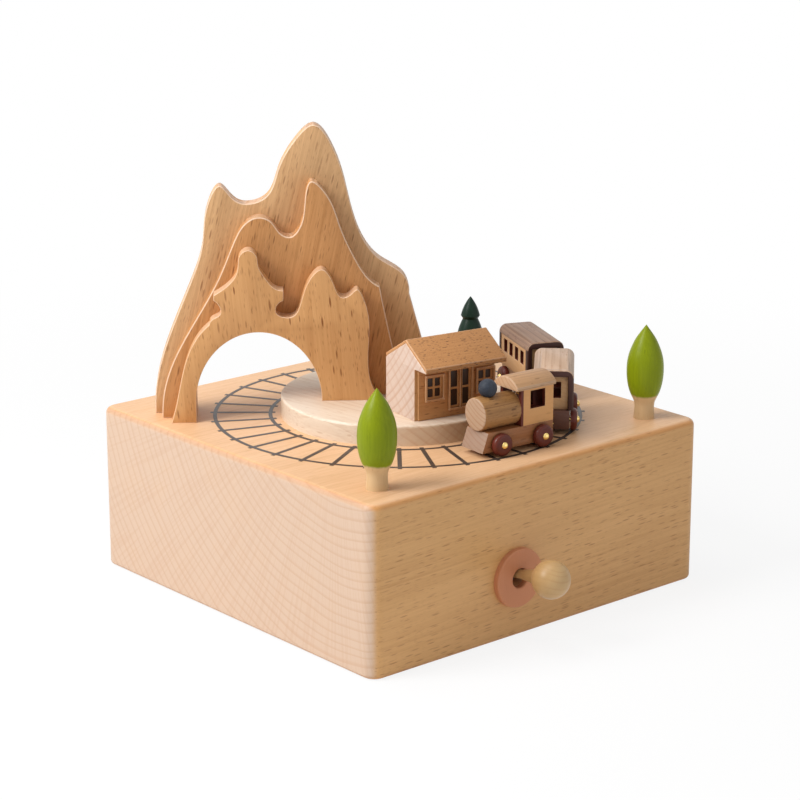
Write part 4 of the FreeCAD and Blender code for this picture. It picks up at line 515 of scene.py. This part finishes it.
def slot_of(node):
    """Finish that the record gives to a solid piece."""
    return next(part["material_slot"] for part in frame["record"]["subparts"] if part["node"] == node)


def merged_copy(node, materials):
    """Copy of a solid piece with its triangles merged into clean faces, in place of that piece."""
    piece = bpy.data.objects.new(node + "_eased", nodes[node].data.copy())
    bpy.context.scene.collection.objects.link(piece)
    piece.data.materials.clear()
    for material in materials:
        piece.data.materials.append(material)
    select_only(piece)
    bpy.ops.object.mode_set(mode="EDIT")
    bpy.ops.mesh.select_all(action="SELECT")
    bpy.ops.mesh.remove_doubles(threshold=WELD)
    bpy.ops.mesh.dissolve_limited(angle_limit=FLAT)
    bpy.ops.object.mode_set(mode="OBJECT")
    for face in piece.data.polygons:
        face.material_index = 0
    finish_piece(piece, nodes[node]["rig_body"], slot_of(node), node)
    return piece


print("helpers for clean copies ready")

# %% [markdown]
# ## Easing the edges
#
# A wooden toy has no sharp edges: each one is sanded and catches the light. A Bevel modifier rounds every
# sharp edge and gives the new strips a second material: a paler wood, partly for the sanded line and partly
# as painted highlight. Bevelling by hand in Edit Mode would do the same, but the modifier picks the edges by
# their angle.


# %% Eased edges
SHARP = radians(30)
SMOOTH = radians(28)
PALE = Vector((0.86, 0.66, 0.50))


def round_edges(piece, width, segments=2):
    """Round the sharp edges of a piece and give the rounded strips its second material."""
    select_only(piece)
    bevel = piece.modifiers.new("eased", "BEVEL")
    bevel.width = width * MM
    bevel.segments = segments
    bevel.limit_method = "ANGLE"
    bevel.angle_limit = SHARP
    bevel.material = 1
    bevel.loop_slide = False
    bpy.ops.object.modifier_apply(modifier=bevel.name)
    bpy.ops.object.shade_smooth_by_angle(angle=SMOOTH)


def eased(node, width, materials, segments=2):
    """Merged copy of a solid piece with rounded edges."""
    piece = merged_copy(node, materials)
    round_edges(piece, width, segments)
    return piece


def with_edge(name, along, pith, tones, edge=0.5, **values):
    """A wood and the paler wood of its sanded edges, the paleness partly a painted highlight."""
    body = wood(name, along, pith, tones, **values)
    # paler edge tones: partly sanded wood, partly painted highlight
    light = [tuple(Vector(tone_value).lerp(PALE, edge)) for tone_value in tones]
    rim = wood(name + "_edge", along, pith, light, **values)
    return [body, rim]


print("helpers for eased edges ready")

# %% [markdown]
# ## Mountains
#
# The three mountain boards are sawn from beech with the grain standing up, so their flecks run up and down.
# Each board gets its own slice of the tree: another line for the rings and another lean. Their tones go from
# early wood to late wood, then the fleck and the end grain.

# %% Mountain boards
FRONT_BOARD = ((0.6854, 0.3726, 0.1546), (0.5198, 0.2512, 0.0883), (0.2208, 0.0681, 0.0162),
               (0.633, 0.3956, 0.2374))
# the middle board's tones are darker, partly as painted shade for the front board's shadow on it
MIDDLE_BOARD_SHADED = ((0.5687, 0.2792, 0.1062), (0.4051, 0.1777, 0.0564), (0.188, 0.0724, 0.0214),
                (0.5725, 0.3431, 0.1965))
BACK_BOARD = ((0.667, 0.402, 0.1987), (0.4784, 0.2594, 0.1122), (0.2309, 0.0929, 0.0304),
              (0.6155, 0.3809, 0.2346))
BOARD_EASE = 0.5
front_wood = with_edge("beech_front_board", (-0.07, -0.08, 1), (60, -90, 0), FRONT_BOARD, edge=0.6,
                       rings=0.3, streaks=1.3, flecks=0.95, fleck_share=0.55, fleck_length=5.5,
                       fleck_width=1.0)
middle_wood = with_edge("beech_middle_board", (0.12, 0.16, 1), (-40, 80, 0), MIDDLE_BOARD_SHADED, edge=0.6,
                        rings=0.45, streaks=2.0, flecks=0.8, fleck_share=0.7, fleck_length=5.5)
back_wood = with_edge("beech_back_board", (0.14, 0.2, 1), (90, 60, 0), BACK_BOARD, edge=0.6, rings=0.45,
                      streaks=2.1, flecks=0.7, fleck_share=0.7, fleck_length=5.0)
for place_name, woods in (("front", front_wood), ("middle", middle_wood), ("back", back_wood)):
    board = eased("mountain_" + place_name, BOARD_EASE, woods, 3)
    print(board.name, "with", len(board.data.polygons), "faces")

# %% [markdown]
# ## Platform
#
# The platform is a turned disc of paler wood, with its grain across that of the block. The solid piece
# already has its rounded edge, so it only needs its wood. A copy with eased edges would add nothing.

# %% Platform
PLATFORM = ((0.790, 0.670, 0.540), (0.630, 0.460, 0.325), (0.532, 0.342, 0.1995), (0.703, 0.5272, 0.3657))
platform_wood = wood("pale_beech", (1, 0.15, 0), (0, 60, 130), PLATFORM, shine=0.5, rings=0.5, streaks=1.1,
                     flecks=0.5, fleck_share=0.5, rays=0.25, wander=1.5)
dress(["platform"], platform_wood)
print("platform dressed in", platform_wood.name)

# %% [markdown]
# ## Printed track
#
# The track is printed on the wood: a thin dark ink, worn a little along the fibres, that shines where the
# light strikes it flat. A picture of the track would do on a flat top, but the solid film keeps its edges
# sharp.

# %% Printed track
INK = rgb(0.022, 0.015, 0.013)
FADED_INK = rgb(0.055, 0.040, 0.034)
WORN_INK = rgb(0.22, 0.13, 0.08)
ink, tree, shader = begin("track_ink")
spot = millimetres(tree)
fade = noise(tree, spot, (9, 9, 3), 3.0)
fibres = noise(tree, spot, (0.5, 18, 2), 3.0)
worn = calc(tree, "MULTIPLY", smooth(tree, fibres, 0.5, 0.75), 0.4)
ink_tone = mixed(tree, worn, mixed(tree, fade, INK, FADED_INK), WORN_INK)
tree.links.new(ink_tone, shader.inputs["Base Color"])
tree.links.new(calc(tree, "ADD", calc(tree, "MULTIPLY", fade, 0.2), 0.3), shader.inputs["Roughness"])
dress(["printed_track"], ink)
print("track inked")

# %% [markdown]
# ## Trees
#
# The trees are turned on a lathe and dipped in stain, so the green stops at the stem in a soft line and the
# grain still shows through. A mix by height does that on one turned piece. Two pieces with a seam between
# them would look glued.


# %% Stained trees
BLOCK_TOP = 49.2
RAGGEDNESS = 0.8


def height_above(tree, ground):
    """Height of the surface above a level, in millimetres."""
    source = put(tree, "TexCoord").outputs["Object"]
    level = put(tree, "SeparateXYZ", {0: source}).outputs["Z"]
    return calc(tree, "SUBTRACT", calc(tree, "MULTIPLY", level, 1.0 / MM), ground)


def stained(name, tones, stem_tones, level, fade, gloss):
    """Turned wood with a stained crown over a bare stem, parted at a level above the block."""
    material = wood(name, (0, 0, 1), (0, 0, 0), tones, coat=0.05, bump=0.15, shine=0.12, rings=0.1,
                    streaks=0.9, flecks=0.25, fleck_share=0.1, gloss=gloss)
    tree = material.node_tree
    shader = tree.nodes["Principled BSDF"]
    crown = shader.inputs["Base Color"].links[0].from_socket
    bare = put(tree, "Group", node_tree=figure)
    source = crown.node.inputs
    for label in ("Place", "Facing"):
        tree.links.new(source[label].links[0].from_socket, bare.inputs[label])
    for label, tone_value in zip(TONE_LABELS, stem_tones):
        bare.inputs[label].default_value = rgb(*tone_value)
    up = height_above(tree, BLOCK_TOP)
    ragged = noise(tree, source["Place"].links[0].from_socket, (6, 1.5, 1.5), 2.0)
    edge = calc(tree, "ADD", up, calc(tree, "MULTIPLY", ragged, RAGGEDNESS))
    mask = smooth(tree, edge, level, level + fade)
    tree.links.new(mixed(tree, mask, bare.outputs["Color"], crown), shader.inputs["Base Color"])
    return material


STEM = ((0.689, 0.490, 0.275), (0.596, 0.401, 0.209), (0.520, 0.310, 0.140), (0.722, 0.493, 0.273))
GRASS = ((0.24, 0.2928, 0.0058), (0.1248, 0.1651, 0.0029), (0.1056, 0.144, 0.0029), (0.2352, 0.288, 0.0058))
PINE = ((0.0095, 0.0272, 0.0163), (0.0054, 0.0160, 0.0104), (0.0050, 0.0120, 0.0090),
        (0.0095, 0.0245, 0.0149))
grass_stain = stained("grass_green_stain", GRASS, STEM, level=6.9, fade=1.0, gloss=0.36)
pine_stain = stained("pine_green_stain", PINE, STEM, level=4.0, fade=0.5, gloss=0.4)
dress(["round_trees"], grass_stain)
dress(["pine_tree"], pine_stain)
print("trees dressed in", grass_stain.name, "and", pine_stain.name)

# %% [markdown]
# ## Peg and washer
#
# The peg is bare turned wood with its grain along its length. Its washer is stained a reddish clay tone, and
# hardly any figure shows through.

# %% Peg and washer
BARE = ((0.54, 0.335, 0.145), (0.45, 0.265, 0.105), (0.34, 0.185, 0.07), (0.55, 0.355, 0.165))
peg_wood = wood("turned_peg", (1, 0, 0.14), (0, -10, 17.6), BARE, coat=0.15, rings=0.35, streaks=0.45,
                flecks=0.2, ring_width=1.6, gloss=0.4)
dress(["stop_peg"], peg_wood)
CLAY = ((0.64, 0.27, 0.135), (0.55, 0.215, 0.10), (0.44, 0.16, 0.07), (0.64, 0.28, 0.145))
washer_wood = wood("clay_washer", (0, 0, 1), (62, 40, 0), CLAY, rings=0.15, streaks=0.35, flecks=0.2,
                   fleck_share=0.2, gloss=0.5, bump=0.1)
dress(["lever_washer"], washer_wood)
print("peg in", peg_wood.name, "and washer in", washer_wood.name)

# %% [markdown]
# ## Station
#
# The house is one block of wood with its grain along the ridge, so its gable shows rings and faint rays that
# cross like a lattice. Its front is a thin stained panel, and its roof a stained sheet full of specks. The
# faces under the eave take the roof's darker wood as painted shade of the overhang, as in the photograph.

# %% Station house
STATION_TURN = radians(-9.6)
STATION_CORNER = Vector((25.71, -15.91, 55.2))
station_place = Matrix.Translation(STATION_CORNER * MM) @ Matrix.Rotation(STATION_TURN, 4, "Z")
station_along = (-sin(STATION_TURN), cos(STATION_TURN), 0)
station_out = (cos(STATION_TURN), sin(STATION_TURN), 0)
HOUSE = ((0.552, 0.304, 0.129), (0.442, 0.216, 0.078), (0.250, 0.110, 0.040), (0.645, 0.520, 0.445))
house_wood = with_edge("station_house_wood", station_along, (-40, 0, 130), HOUSE, edge=0.4, rings=0.8,
                       ring_width=2.3, streaks=0.6, flecks=0.5, rays=0.3, wander=1.3)
PANEL = ((0.610, 0.308, 0.124), (0.455, 0.202, 0.072), (0.160, 0.060, 0.0200), (0.510, 0.282, 0.123))
panel_wood = with_edge("station_panel_wood", station_along, (0, 0, 40), PANEL, edge=0.35, rings=0.4,
                       streaks=1.1, flecks=0.7, fleck_share=0.4, fleck_length=2.5, fleck_width=0.5)
eased("station_front", 0.15, panel_wood[:1] * 2, 1)
ROOF = ((0.497, 0.236, 0.086), (0.375, 0.163, 0.056), (0.090, 0.040, 0.0200), (0.564, 0.291, 0.122))
roof_wood = with_edge("station_roof_wood", station_along, (0, 0, 90), ROOF, edge=0.15, rings=0.2,
                      streaks=1.3, flecks=0.95, fleck_share=0.95, fleck_length=1.5, fleck_width=0.45,
                      gloss=0.55)
eased("station_roof", 0.25, roof_wood)
house = eased("station_house", 0.3, house_wood + roof_wood[:1])
EAVE = 0.3
END_CUT = 0.8
eave_shade_faces = 0
for face in house.data.polygons:
    spot = station_place.inverted() @ face.center / MM
    if spot.x > EAVE and abs(face.normal.dot(Vector(station_along))) < END_CUT:
        # painted shade: faces under the eave get the roof's darker wood for the overhang's shade
        face.material_index = 2
        eave_shade_faces += 1
print("station house dressed, with", eave_shade_faces, "stained faces under its eave")

# %% [markdown]
# ## Panes of painted shade
#
# The openings of the station are dark with shade. A thin dark pane behind each one is painted shade that
# stays in any light, where bare holes would show the wood of the house behind them.

# %% Panes of painted shade
# painted shade: a dark pane material for the shade inside the station's openings
shade_pane, tree, shader = begin("painted_shade_pane")
spot = millimetres(tree)
gloom = mixed(tree, noise(tree, spot, (2, 2, 3)), rgb(0.016, 0.008, 0.005), rgb(0.055, 0.026, 0.013))
tree.links.new(gloom, shader.inputs["Base Color"])
smears = calc(tree, "MULTIPLY", noise(tree, spot, (1, 1, 1)), 0.2)
tree.links.new(calc(tree, "ADD", smears, 0.35), shader.inputs["Roughness"])
print("pane material", shade_pane.name)

# %% [markdown]
# ## Flat pieces on the wall
#
# Panes and frames begin as planes on the station's front. One helper stands a plane there in the station's
# own measures, and another gives it its thickness by pulling it out and easing its edges. A Solidify modifier
# could thicken it too, but it would not ease the edges.


# %% Wall planes
OPENINGS = {"near_window": (3.5, 5.9, 5.4, 6.7), "near_door": (11.2, 2.4, 3.5, 11.4),
            "far_door": (15.0, 2.4, 3.5, 11.4), "far_window": (20.5, 5.9, 5.4, 6.7)}


def wall_plane(name, start, low, width, height, out):
    """Upright plane on the station's front wall, as wide and high as an opening."""
    bpy.ops.object.select_all(action="DESELECT")
    bpy.ops.mesh.primitive_plane_add(size=1.0)
    plane = bpy.context.object
    plane.name = name
    stand = Matrix(((0, 0, 1, 0), (1, 0, 0, 0), (0, 1, 0, 0), (0, 0, 0, 1)))
    size = Matrix.Diagonal((width * MM, height * MM, 1, 1))
    middle = Vector((out, start + width / 2, low + height / 2)) * MM
    plane.data.transform(station_place @ Matrix.Translation(middle) @ stand @ size)
    return plane


def pull_out(piece, depth, bevel_width):
    """Give a flat piece its thickness along the station's front and ease its edges."""
    select_only(piece)
    bpy.ops.object.mode_set(mode="EDIT")
    bpy.ops.mesh.select_all(action="SELECT")
    move = {"value": tuple(Vector(station_out) * depth * MM)}
    bpy.ops.mesh.extrude_region_move(TRANSFORM_OT_translate=move)
    bpy.ops.mesh.select_all(action="SELECT")
    bpy.ops.mesh.normals_make_consistent(inside=False)
    bpy.ops.mesh.bevel(offset=bevel_width * MM, segments=2, affect="EDGES", material=1)
    bpy.ops.object.mode_set(mode="OBJECT")
    bpy.ops.object.shade_smooth_by_angle(angle=SMOOTH)


print("helpers for", len(OPENINGS), "openings ready")

# %% [markdown]
# ## Window and door frames
#
# Fine frames surround the windows and doors, as if cut in relief. A plane is inset, its middle is taken out,
# and the rim is pulled out into a frame with eased edges. Four bars would need mitred corners.

# %% Frames
FRAME_WIDTH = 0.6
FRAME_DEPTH = 0.85
FRAME_EASE = 0.14
FRAME_OUT = 0.55
PANE_DEPTH = 0.12
PANE_EASE = 0.02
PANE_OUT = 0.02
LAP = 0.1
for name, (start, low, width, height) in OPENINGS.items():
    pane = wall_plane("station_pane_" + name, start + LAP, low + LAP, width - 2 * LAP, height - 2 * LAP,
                      PANE_OUT)
    pane.data.materials.append(shade_pane)
    pull_out(pane, PANE_DEPTH, PANE_EASE)
    finish_piece(pane, "case", "station_relief")
    rim = FRAME_WIDTH - LAP
    surround = wall_plane("station_frame_" + name, start - rim, low - rim, width + 2 * rim, height + 2 * rim,
                          FRAME_OUT)
    select_only(surround)
    bpy.ops.object.mode_set(mode="EDIT")
    bpy.ops.mesh.select_all(action="SELECT")
    bpy.ops.mesh.inset(thickness=FRAME_WIDTH * MM)
    bpy.ops.mesh.delete(type="FACE")
    bpy.ops.object.mode_set(mode="OBJECT")
    for material in panel_wood:
        surround.data.materials.append(material)
    pull_out(surround, FRAME_DEPTH, FRAME_EASE)
    finish_piece(surround, "case", "station_relief")
print(len(OPENINGS), "openings framed")

# %% [markdown]
# ## Train
#
# The train is the liveliest piece: several woods side by side. Each vehicle has its own direction, taken from
# its axles, so that its grain runs along it and turns with it as it goes round. Angles written by hand would
# go wrong as soon as the train stood elsewhere.


# %% Vehicle directions
def vehicle_frame(vehicle):
    """Middle and forward direction of a vehicle, from its four wheels."""
    spots = {}
    for joint in frame["joints"]:
        if joint["child"].startswith(vehicle + "_wheel"):
            spots[joint["child"][len(vehicle) + 7:]] = Vector(joint["pos_m"])
    front = (spots["front_outer"] + spots["front_inner"]) / 2
    rear = (spots["rear_outer"] + spots["rear_inner"]) / 2
    return (front + rear) / 2, (front - rear).normalized()


def local_spans(piece, middle, ahead):
    """Reach of a piece forwards, to the side and upwards, seen from its vehicle's middle."""
    aside = Vector((-ahead.y, ahead.x, 0))
    spots = [vertex.co - middle for vertex in piece.data.vertices]
    spans = []
    for direction in (ahead, aside, Vector((0, 0, 1))):
        values = [spot.dot(direction) for spot in spots]
        spans.append((min(values), max(values)))
    return aside, spans


for vehicle in ("loco", "coach_1", "coach_2"):
    print(vehicle, "heads along", tuple(round(part, 3) for part in vehicle_frame(vehicle)[1]))

# %% [markdown]
# ## Painted shade inside
#
# The insides of the cab and the coaches get painted shade: a dark wood, as in the photograph. The faces that
# lie inside the outer skin of a hollow body get it as a third material. Modelling a lining would add pieces
# that the toy lacks.


# %% Hollow bodies
SKIN = 0.12 * MM
FLOOR_EDGE = 0.5 * MM


def inner_faces_painted_shade(piece, middle, ahead):
    """Give the faces inside a hollow body, and the insides of its windows, a dark wood as painted shade."""
    aside, (length, width, height) = local_spans(piece, middle, ahead)
    count = 0
    for face in piece.data.polygons:
        spot = face.center - middle
        inside = True
        for value, (low, high) in ((spot.dot(ahead), length), (spot.dot(aside), width)):
            inside = inside and low + SKIN < value < high - SKIN
        if inside and height[0] + FLOOR_EDGE < spot.z < height[1] - SKIN:
            # painted shade: inner faces take the dark wood
            face.material_index = 2
            count += 1
    print(piece.name, "has", count, "dark inner faces")


def hollow_body(vehicle, node, width, materials, front_wall=0.0):
    """Eased hollow body with painted shade inside; a front wall of that depth is sawn from the last material.
    """
    middle, ahead = vehicle_frame(vehicle)
    piece = merged_copy(node, materials)
    if front_wall:
        front = local_spans(piece, middle, ahead)[1][0][1] - front_wall * MM
        select_only(piece)
        bpy.ops.object.mode_set(mode="EDIT")
        bpy.ops.mesh.select_all(action="SELECT")
        bpy.ops.mesh.bisect(plane_co=middle + ahead * front, plane_no=ahead)
        bpy.ops.object.mode_set(mode="OBJECT")
    round_edges(piece, width)
    inner_faces_painted_shade(piece, middle, ahead)
    if front_wall:
        for face in piece.data.polygons:
            if (face.center - middle).dot(ahead) > front:
                face.material_index = len(materials) - 1


print("helpers for hollow bodies ready")

# %% [markdown]
# ## Woods of the train
#
# Walnut, maple and mahogany of several shades make the train. Each shade has four tones: early wood, late
# wood, fleck and end grain. One helper turns a shade into the three materials of a piece: its wood, the paler
# wood of its sanded edges, partly painted highlight, and a dark wood inside as painted shade.

# %% Train woods
WALNUT = ((0.350, 0.145, 0.055), (0.210, 0.078, 0.0264), (0.100, 0.040, 0.0160), (0.332, 0.216, 0.151))
LIGHT_WALNUT = ((0.408, 0.204, 0.071), (0.209, 0.092, 0.030), (0.100, 0.040, 0.0140), (0.443, 0.302, 0.202))
VAULT_WALNUT = ((0.510, 0.290, 0.145), (0.300, 0.160, 0.075), (0.190, 0.095, 0.042), (0.534, 0.331, 0.193))
ROOF_WALNUT = ((0.300, 0.175, 0.110), (0.180, 0.096, 0.058), (0.160, 0.085, 0.055), (0.475, 0.314, 0.209))
PALE_WALNUT = ((0.510, 0.350, 0.243), (0.400, 0.256, 0.167), (0.330, 0.190, 0.110), (0.577, 0.400, 0.279))
DARK_WALNUT = ((0.125, 0.05, 0.032), (0.065, 0.024, 0.016), (0.035, 0.014, 0.01), (0.13, 0.055, 0.037))
FRAME_WALNUT = ((0.045, 0.016, 0.013), (0.03, 0.010, 0.008), (0.02, 0.007, 0.006), (0.055, 0.02, 0.016))
MAPLE = ((0.69, 0.36, 0.14), (0.58, 0.285, 0.10), (0.40, 0.19, 0.07), (0.69, 0.41, 0.19))
COACH_MAPLE = ((0.603, 0.351, 0.167), (0.513, 0.279, 0.126), (0.420, 0.210, 0.085), (0.621, 0.387, 0.198))
PINK_MAPLE = ((0.563, 0.343, 0.207), (0.475, 0.273, 0.154), (0.400, 0.220, 0.115), (0.585, 0.387, 0.258))
MAHOGANY = ((0.125, 0.022, 0.012), (0.08, 0.014, 0.008), (0.045, 0.008, 0.005), (0.13, 0.025, 0.014))
PITH_OFFSET = Vector((9, 4, 26))
# painted shade: a dark wood standing in for the shade inside the hollow bodies
painted_shade_inside = wood("painted_inside_shade", (0, 0, 1), (0, 0, 0), MAHOGANY, rings=0.2, streaks=0.6)


def train_wood(name, vehicle, tones, edge=0.22, **values):
    """Wood whose grain runs along a vehicle, with its sanded edges, partly painted highlight, and painted
    shade inside.
    """
    middle, ahead = vehicle_frame(vehicle)
    values.setdefault("ring_width", 1.3)
    values.setdefault("fleck_length", 3.0)
    values.setdefault("fleck_share", 0.2)
    pith = middle / MM + PITH_OFFSET
    return with_edge(vehicle + "_" + name, tuple(ahead), pith, tones, edge=edge, **values) + [painted_shade_inside]


print("train woods ready, with", painted_shade_inside.name, "inside")

# %% [markdown]
# ## Locomotive
#
# The locomotive has a walnut chassis, a lighter boiler, a maple cab and a vaulted roof. The cab's front wall
# is a slice of dark wood: the cab is cut there by a plane, and the faces ahead of the cut take that wood.

# %% Locomotive
FRONT_WALL = 0.8
walnut = train_wood("walnut", "loco", WALNUT, rings=0.6, streaks=1.4, flecks=0.6, fleck_share=0.4)
boiler_wood = train_wood("light_walnut", "loco", LIGHT_WALNUT, rings=0.9, streaks=1.8, flecks=0.8,
                         fleck_share=0.55)
vault = train_wood("vault_walnut", "loco", VAULT_WALNUT, rings=0.8, streaks=1.6, flecks=0.5, fleck_share=0.4)
maple = train_wood("maple", "loco", MAPLE, rings=0.3, streaks=0.8, flecks=0.3)
eased("loco_chassis", 0.3, walnut)
eased("loco_boiler", 0.15, boiler_wood)
eased("cab_roof", 0.35, vault)
front_wall_wood = wood("loco_front_wall", (0, 0, 1), (0, 0, 0), MAHOGANY, rings=0.2, streaks=0.8)
hollow_body("loco", "loco_cab", 0.2, maple + [front_wall_wood], FRONT_WALL)
print("locomotive dressed")

# %% [markdown]
# ## Coaches
#
# Each coach has a maple body between two dark end frames, under a walnut roof. The frames are eased only at
# their outer ends, since their inner ends lie against the body. The roof's wood is drawn over their tops, as
# if the roof lapped over them.


# %% End frames
ROOF_LAP = 2.4
LEAST_OUTWARD = 0.35
MOST_AHEAD = 0.9


def roofed_frames(vehicle, width, materials):
    """End frames of a coach, eased at their outer ends, with the roof's wood drawn over their tops."""
    middle, ahead = vehicle_frame(vehicle)
    piece = merged_copy(vehicle + "_frames", materials)
    aside, (length, _, height) = local_spans(piece, middle, ahead)
    select_only(piece)
    bpy.ops.object.mode_set(mode="EDIT")
    bpy.ops.mesh.select_mode(type="EDGE")
    bpy.ops.mesh.select_all(action="DESELECT")
    bpy.ops.object.mode_set(mode="OBJECT")
    for edge in piece.data.edges:
        ends = [(piece.data.vertices[index].co - middle).dot(ahead) for index in edge.vertices]
        edge.select = max(ends) < length[0] + WELD / 2 or min(ends) > length[1] - WELD / 2
    bpy.ops.object.mode_set(mode="EDIT")
    bpy.ops.mesh.bevel(offset=width * MM, segments=3, affect="EDGES", material=1)
    bpy.ops.object.mode_set(mode="OBJECT")
    bpy.ops.object.shade_smooth_by_angle(angle=SMOOTH)
    roof_foot = height[1] - ROOF_LAP * MM
    for face in piece.data.polygons:
        spot = face.center - middle
        sideways = face.normal.dot(aside)
        if sideways * spot.dot(aside) > 0:
            outward = face.normal.z + abs(sideways)
        else:
            outward = face.normal.z - abs(sideways)
        end_on = abs(face.normal.dot(ahead))
        if spot.z > roof_foot and outward > LEAST_OUTWARD and end_on < MOST_AHEAD:
            face.material_index = 2


print("helper for end frames ready")

# %% [markdown]
# ## Two coaches
#
# The two coaches have the same pieces and differ in the woods of their chassis and roof, so one loop dresses
# both. The roof keeps its edges as they are: its solid form is rounded already.

# %% Coaches
COACHES = {"coach_1": (DARK_WALNUT, PALE_WALNUT), "coach_2": (PINK_MAPLE, ROOF_WALNUT)}
for vehicle, (base_tones, roof_tones) in COACHES.items():
    base = train_wood("base_wood", vehicle, base_tones, edge=0.12, rings=0.4, streaks=1.2, flecks=0.4)
    walls = train_wood("maple", vehicle, COACH_MAPLE, rings=0.3, streaks=0.8, flecks=0.3)
    dark = train_wood("frame_walnut", vehicle, FRAME_WALNUT, edge=0.02, rings=0.2, streaks=0.8, flecks=0.3)
    top = train_wood("roof_wood", vehicle, roof_tones, rings=1.1, streaks=1.5, flecks=0.6, fleck_share=0.4)
    eased(vehicle + "_chassis", 0.3, base)
    hollow_body(vehicle, vehicle + "_body", 0.12, walls)
    roofed_frames(vehicle, 0.45, dark[:2] + top[:1])
    merged_copy(vehicle + "_roof", top[:2])
    bpy.ops.object.shade_smooth_by_angle(angle=SMOOTH)
    print(vehicle, "dressed")

# %% [markdown]
# ## Wheels and chimney
#
# The wheels are turned from mahogany and polished, with the grain along their vehicle. The ball on the boiler
# is stained slate blue over rough grain. A painted ball would look flat: the stain lets the fibres through.

# %% Wheels and chimney
for vehicle in ("loco", "coach_1", "coach_2"):
    middle, ahead = vehicle_frame(vehicle)
    wheel_wood = wood(vehicle + "_mahogany", tuple(ahead), middle / MM + Vector((0, 0, 40)), MAHOGANY,
                      coat=0.1, bump=0.1, shine=0.2, rings=0.0, streaks=0.9, flecks=0.3, gloss=0.32)
    dress([name for name in nodes if name.startswith(vehicle + "_wheel")], wheel_wood)
SLATE = ((0.036, 0.044, 0.060), (0.022, 0.027, 0.039), (0.0140, 0.0170, 0.025), (0.040, 0.048, 0.064))
slate = wood("slate_stain", (1, 0.3, 0), (47, 0, 66), SLATE, bump=0.7, shine=0.2, rings=0.6, streaks=2.4,
             ring_width=0.8, flecks=0.8, fleck_share=0.5, fleck_length=1.5, fleck_width=0.4, gloss=0.5)
dress(["chimney_ball"], slate)
print("wheels and chimney dressed")

# %% [markdown]
# ## Metals
#
# The nails and hooks are brass, and the movement is brass, steel and cast metal. A metal differs from a shiny
# paint in that its colour tints what it mirrors. Fine marks and a little tarnish, from noise, keep it from
# looking poured. The record says which finish each solid piece has, so one loop dresses them all.


# %% Metals
MARK_DEPTH = 0.05 * MM


def metal(name, light_tone, dark_tone, gloss, stretch, bump=0.05):
    """Metal with fine marks along one direction, in tone and gloss."""
    material, tree, shader = begin(name)
    spot = millimetres(tree)
    marks = noise(tree, spot, stretch, 4.0, 0.6)
    tarnish = noise(tree, spot, (6, 6, 6), 2.0)
    tone_value = calc(tree, "ADD", calc(tree, "MULTIPLY", marks, 0.5), calc(tree, "MULTIPLY", tarnish, 0.5))
    tree.links.new(mixed(tree, tone_value, rgb(*light_tone), rgb(*dark_tone)), shader.inputs["Base Color"])
    shader.inputs["Metallic"].default_value = 1.0
    tree.links.new(calc(tree, "ADD", calc(tree, "MULTIPLY", marks, 0.25), gloss), shader.inputs["Roughness"])
    raise_surface(tree, shader, marks, bump, MARK_DEPTH)
    return material


brass = metal("brass", (0.86, 0.66, 0.26), (0.66, 0.46, 0.15), 0.12, (0.8, 0.8, 0.8))
steel = metal("brushed_steel", (0.62, 0.62, 0.63), (0.46, 0.46, 0.48), 0.22, (12, 0.25, 0.25))
blued = metal("blued_steel", (0.16, 0.18, 0.24), (0.09, 0.10, 0.15), 0.25, (0.3, 0.3, 6))
casting = metal("cast_metal", (0.60, 0.60, 0.60), (0.45, 0.45, 0.46), 0.42, (0.6, 0.6, 0.6), 0.3)
nickel = metal("magnet_nickel", (0.72, 0.71, 0.69), (0.58, 0.57, 0.55), 0.15, (2, 2, 2))
METALS = {"brass": brass, "steel": steel, "spring_steel": blued, "cast_metal": casting,
          "magnet_nickel": nickel}
metal_nodes = [part["node"] for part in frame["record"]["subparts"] if part["material_slot"] in METALS]
for node in metal_nodes:
    dress([node], METALS[slot_of(node)])
print(len(metal_nodes), "metal pieces dressed")

# %% [markdown]
# ## Key and screws
#
# The winding key is steel with eased edges. The screws in the bottom board have slotted heads: a thin box
# cuts each slot, turned differently each time, as a hand would leave them. A Boolean modifier takes all the
# boxes away at once, since they are joined first. A slot's three sizes are shares of its head's radius.

# %% Key and screws
HEAD_LEVEL = 9.5 * MM
KEY_EASE = 0.25
SCREW_EASE = 0.12
FIRST_TURN = 0.4
TURN_STEP = 0.9
SLOT_SHARES = (2.4, 0.28, 0.5)
eased("winding_key", KEY_EASE, [steel, steel])
screws = merged_copy("screws", [steel, steel])
heads = []
for face in screws.data.polygons:
    if face.normal.z < -0.99 and face.center.z < HEAD_LEVEL:
        rim = max((screws.data.vertices[index].co - face.center).length for index in face.vertices)
        heads.append((face.center.copy(), rim))
bpy.ops.object.select_all(action="DESELECT")
cutters = []
for count, (spot, rim) in enumerate(heads):
    turn = (0, 0, FIRST_TURN + count * TURN_STEP)
    bpy.ops.mesh.primitive_cube_add(size=1.0, location=spot, rotation=turn)
    bpy.context.object.scale = [rim * share for share in SLOT_SHARES]
    cutters.append(bpy.context.object)
for cutter in cutters:
    cutter.select_set(True)
bpy.ops.object.join()
slots = bpy.context.object
cut = screws.modifiers.new("slots", "BOOLEAN")
cut.operation = "DIFFERENCE"
cut.object = slots
select_only(screws)
bpy.ops.object.modifier_apply(modifier=cut.name)
bpy.data.objects.remove(slots)
round_edges(screws, SCREW_EASE)
print("slots cut in", len(heads), "screw heads")

# %% [markdown]
# ## Bottom board
#
# The bottom board closes the movement's room. It is a plain sheet of pale wood, seen only from below. The
# same wood group serves it, with clear rings and faint flecks.

# %% Bottom board
BIRCH = ((0.70, 0.53, 0.36), (0.58, 0.41, 0.26), (0.42, 0.28, 0.16), (0.62, 0.46, 0.31))
board_wood = wood("birch_board", (1, 0.1, 0), (0, 0, 160), BIRCH, rings=0.7, streaks=0.7, flecks=0.3,
                  gloss=0.6)
dress(["bottom_board"], board_wood)
print("bottom board dressed in", board_wood.name)
